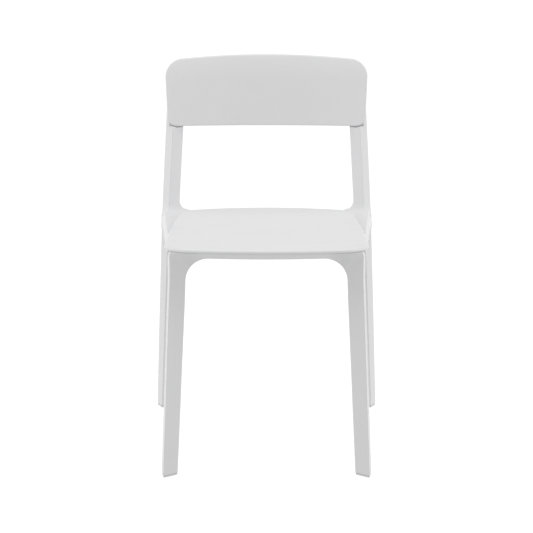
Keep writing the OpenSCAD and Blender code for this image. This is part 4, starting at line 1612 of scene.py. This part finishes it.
@dataclass
class Studio:
    """A softly glowing white floor under broad soft light, and the camera."""

    # The side lamps stay out of reflections, where one would burn the seat out from the side.
    lamps: tuple[Softbox, ...] = (
        Softbox("top_softbox", (0.0, 0.0, 3.4), (0.0, 0.0, 0.4), 1.6, 26.0),
        Softbox("left_softbox", (-3.0, 0.0, 1.0), (0.0, 0.0, 0.4), 1.6, 25.0, in_reflections=False),
        Softbox("right_softbox", (3.0, 0.0, 1.0), (0.0, 0.0, 0.4), 1.6, 24.0, in_reflections=False),
    )
    sky: float = 0.68
    floor_half: float = 30.0
    floor_glow: float = 0.85
    camera_distance: float = 3.2
    camera_height: float = 1.14
    pitch_deg: float = 12.55
    focal_px: float = 1710.0
    frame_px: float = 533.0
    sensor_mm: float = 36.0

    def floor(self) -> None:
        """Adds the floor, a broad white sheet whose far edges turn up."""
        n = 65
        u = np.linspace(-1.0, 1.0, n)
        x, y = np.meshgrid(u * self.floor_half, u * self.floor_half)
        rise = ease((np.hypot(x, y) / self.floor_half - 0.6) / 0.4) * 6.0
        points = np.stack([x, y, rise], -1).reshape(-1, 3)
        index = np.arange(n * n).reshape(n, n)
        quads = np.stack([index[:-1, :-1], index[:-1, 1:], index[1:, 1:], index[1:, :-1]], -1).reshape(-1, 4)
        mesh = bpy.data.meshes.new("studio_floor")
        mesh.from_pydata(points.tolist(), [], quads.tolist())
        mesh.shade_smooth()
        floor = new_object("studio_floor", mesh)
        # Backlit diffusing acrylic: an even white glow, bright enough that no shadow shows on it.
        material, tree = fresh_material("backlit_acrylic")
        where = add_node(tree, "ShaderNodeTexCoord", {}, {}).outputs["Object"]
        tooth = add_node(tree, "ShaderNodeTexNoise", {"Scale": 600.0}, {"Vector": where})
        tone = add_node(
            tree,
            "ShaderNodeMix",
            {"data_type": "RGBA", 6: linear("959595"), 7: linear("999999")},
            {0: tooth.outputs[0]},
        )
        paper = add_node(
            tree,
            "ShaderNodeBsdfPrincipled",
            {
                "Roughness": 1.0,
                "Specular IOR Level": 0.0,
                "Emission Color": (1.0, 1.0, 1.0, 1.0),
                "Emission Strength": self.floor_glow,
            },
            {"Base Color": tone.outputs[2]},
        )
        add_node(tree, "ShaderNodeOutputMaterial", {}, {"Surface": paper.outputs[0]})
        mesh.materials.append(material)
        # The sheet is lit for the eye only: its glow would wash out the chair's undersides.
        floor.visible_diffuse = False
        floor.visible_shadow = False

    def camera(self, layout: Layout) -> None:
        """Sets the camera, square to the chair's front and looking a little down.

        Args:
            layout: The chair's layout.
        """
        data = bpy.data.cameras.new("front_camera")
        data.sensor_width = self.sensor_mm
        data.lens = self.sensor_mm * self.focal_px / self.frame_px
        data.clip_end = 100.0
        camera = bpy.data.objects.new("front_camera", data)
        front = (layout.front_y + 1) * MM
        camera.location = (0.0, front - self.camera_distance, self.camera_height)
        camera.rotation_euler = (math.radians(90 - self.pitch_deg), 0.0, 0.0)
        bpy.context.scene.collection.objects.link(camera)
        bpy.context.scene.camera = camera

    def build(self, layout: Layout) -> None:
        """Adds the camera, the sky, the lamps and the floor.

        Args:
            layout: The chair's layout.
        """
        self.camera(layout)
        world = bpy.data.worlds.new("white_room")
        world.use_nodes = True
        background = world.node_tree.nodes["Background"]
        background.inputs[0].default_value = (1.0, 1.0, 1.0, 1.0)
        background.inputs[1].default_value = self.sky
        bpy.context.scene.world = world
        bpy.context.scene.view_settings.view_transform = "Standard"
        for lamp in self.lamps:
            lamp.build()
        self.floor()


def main() -> None:
    """Builds the chair's looks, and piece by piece."""
    logging.basicConfig(level=logging.INFO, format="%(name)s: %(message)s")
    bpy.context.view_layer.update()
    layout = Layout()
    Studio().build(layout)
    finishes = Finishes()
    front, rear = FrontFrame(layout), RearFrame(layout)
    front.build(finishes)
    rear.build(finishes)
    for side in Side:
        SideRail(layout, side).build(finishes)
    SeatPanel(layout).build(finishes)
    BackPanel(layout).build(finishes)
    feet = {
        "front": front.leg_rings(np.array([layout.glide_h]))[0],
        "rear": rear.rings(np.array([layout.glide_h]))[0],
    }
    pad_ys = {"front": layout.front_joint_y + 5.5, "rear": layout.rear_joint_y - 5.5}
    for end in feet:
        for side in Side:
            name = f"{end}_{side.name.lower()}"
            Glide(layout, f"{name}_glide", feet[end], side).build(finishes)
            StackPad(layout, f"{name}_stack_pad", pad_ys[end], side).build(finishes)
    ScrewCaps(layout, rear).build(finishes)
    Fixings().build(finishes)


if __name__ == "__main__":
    main()
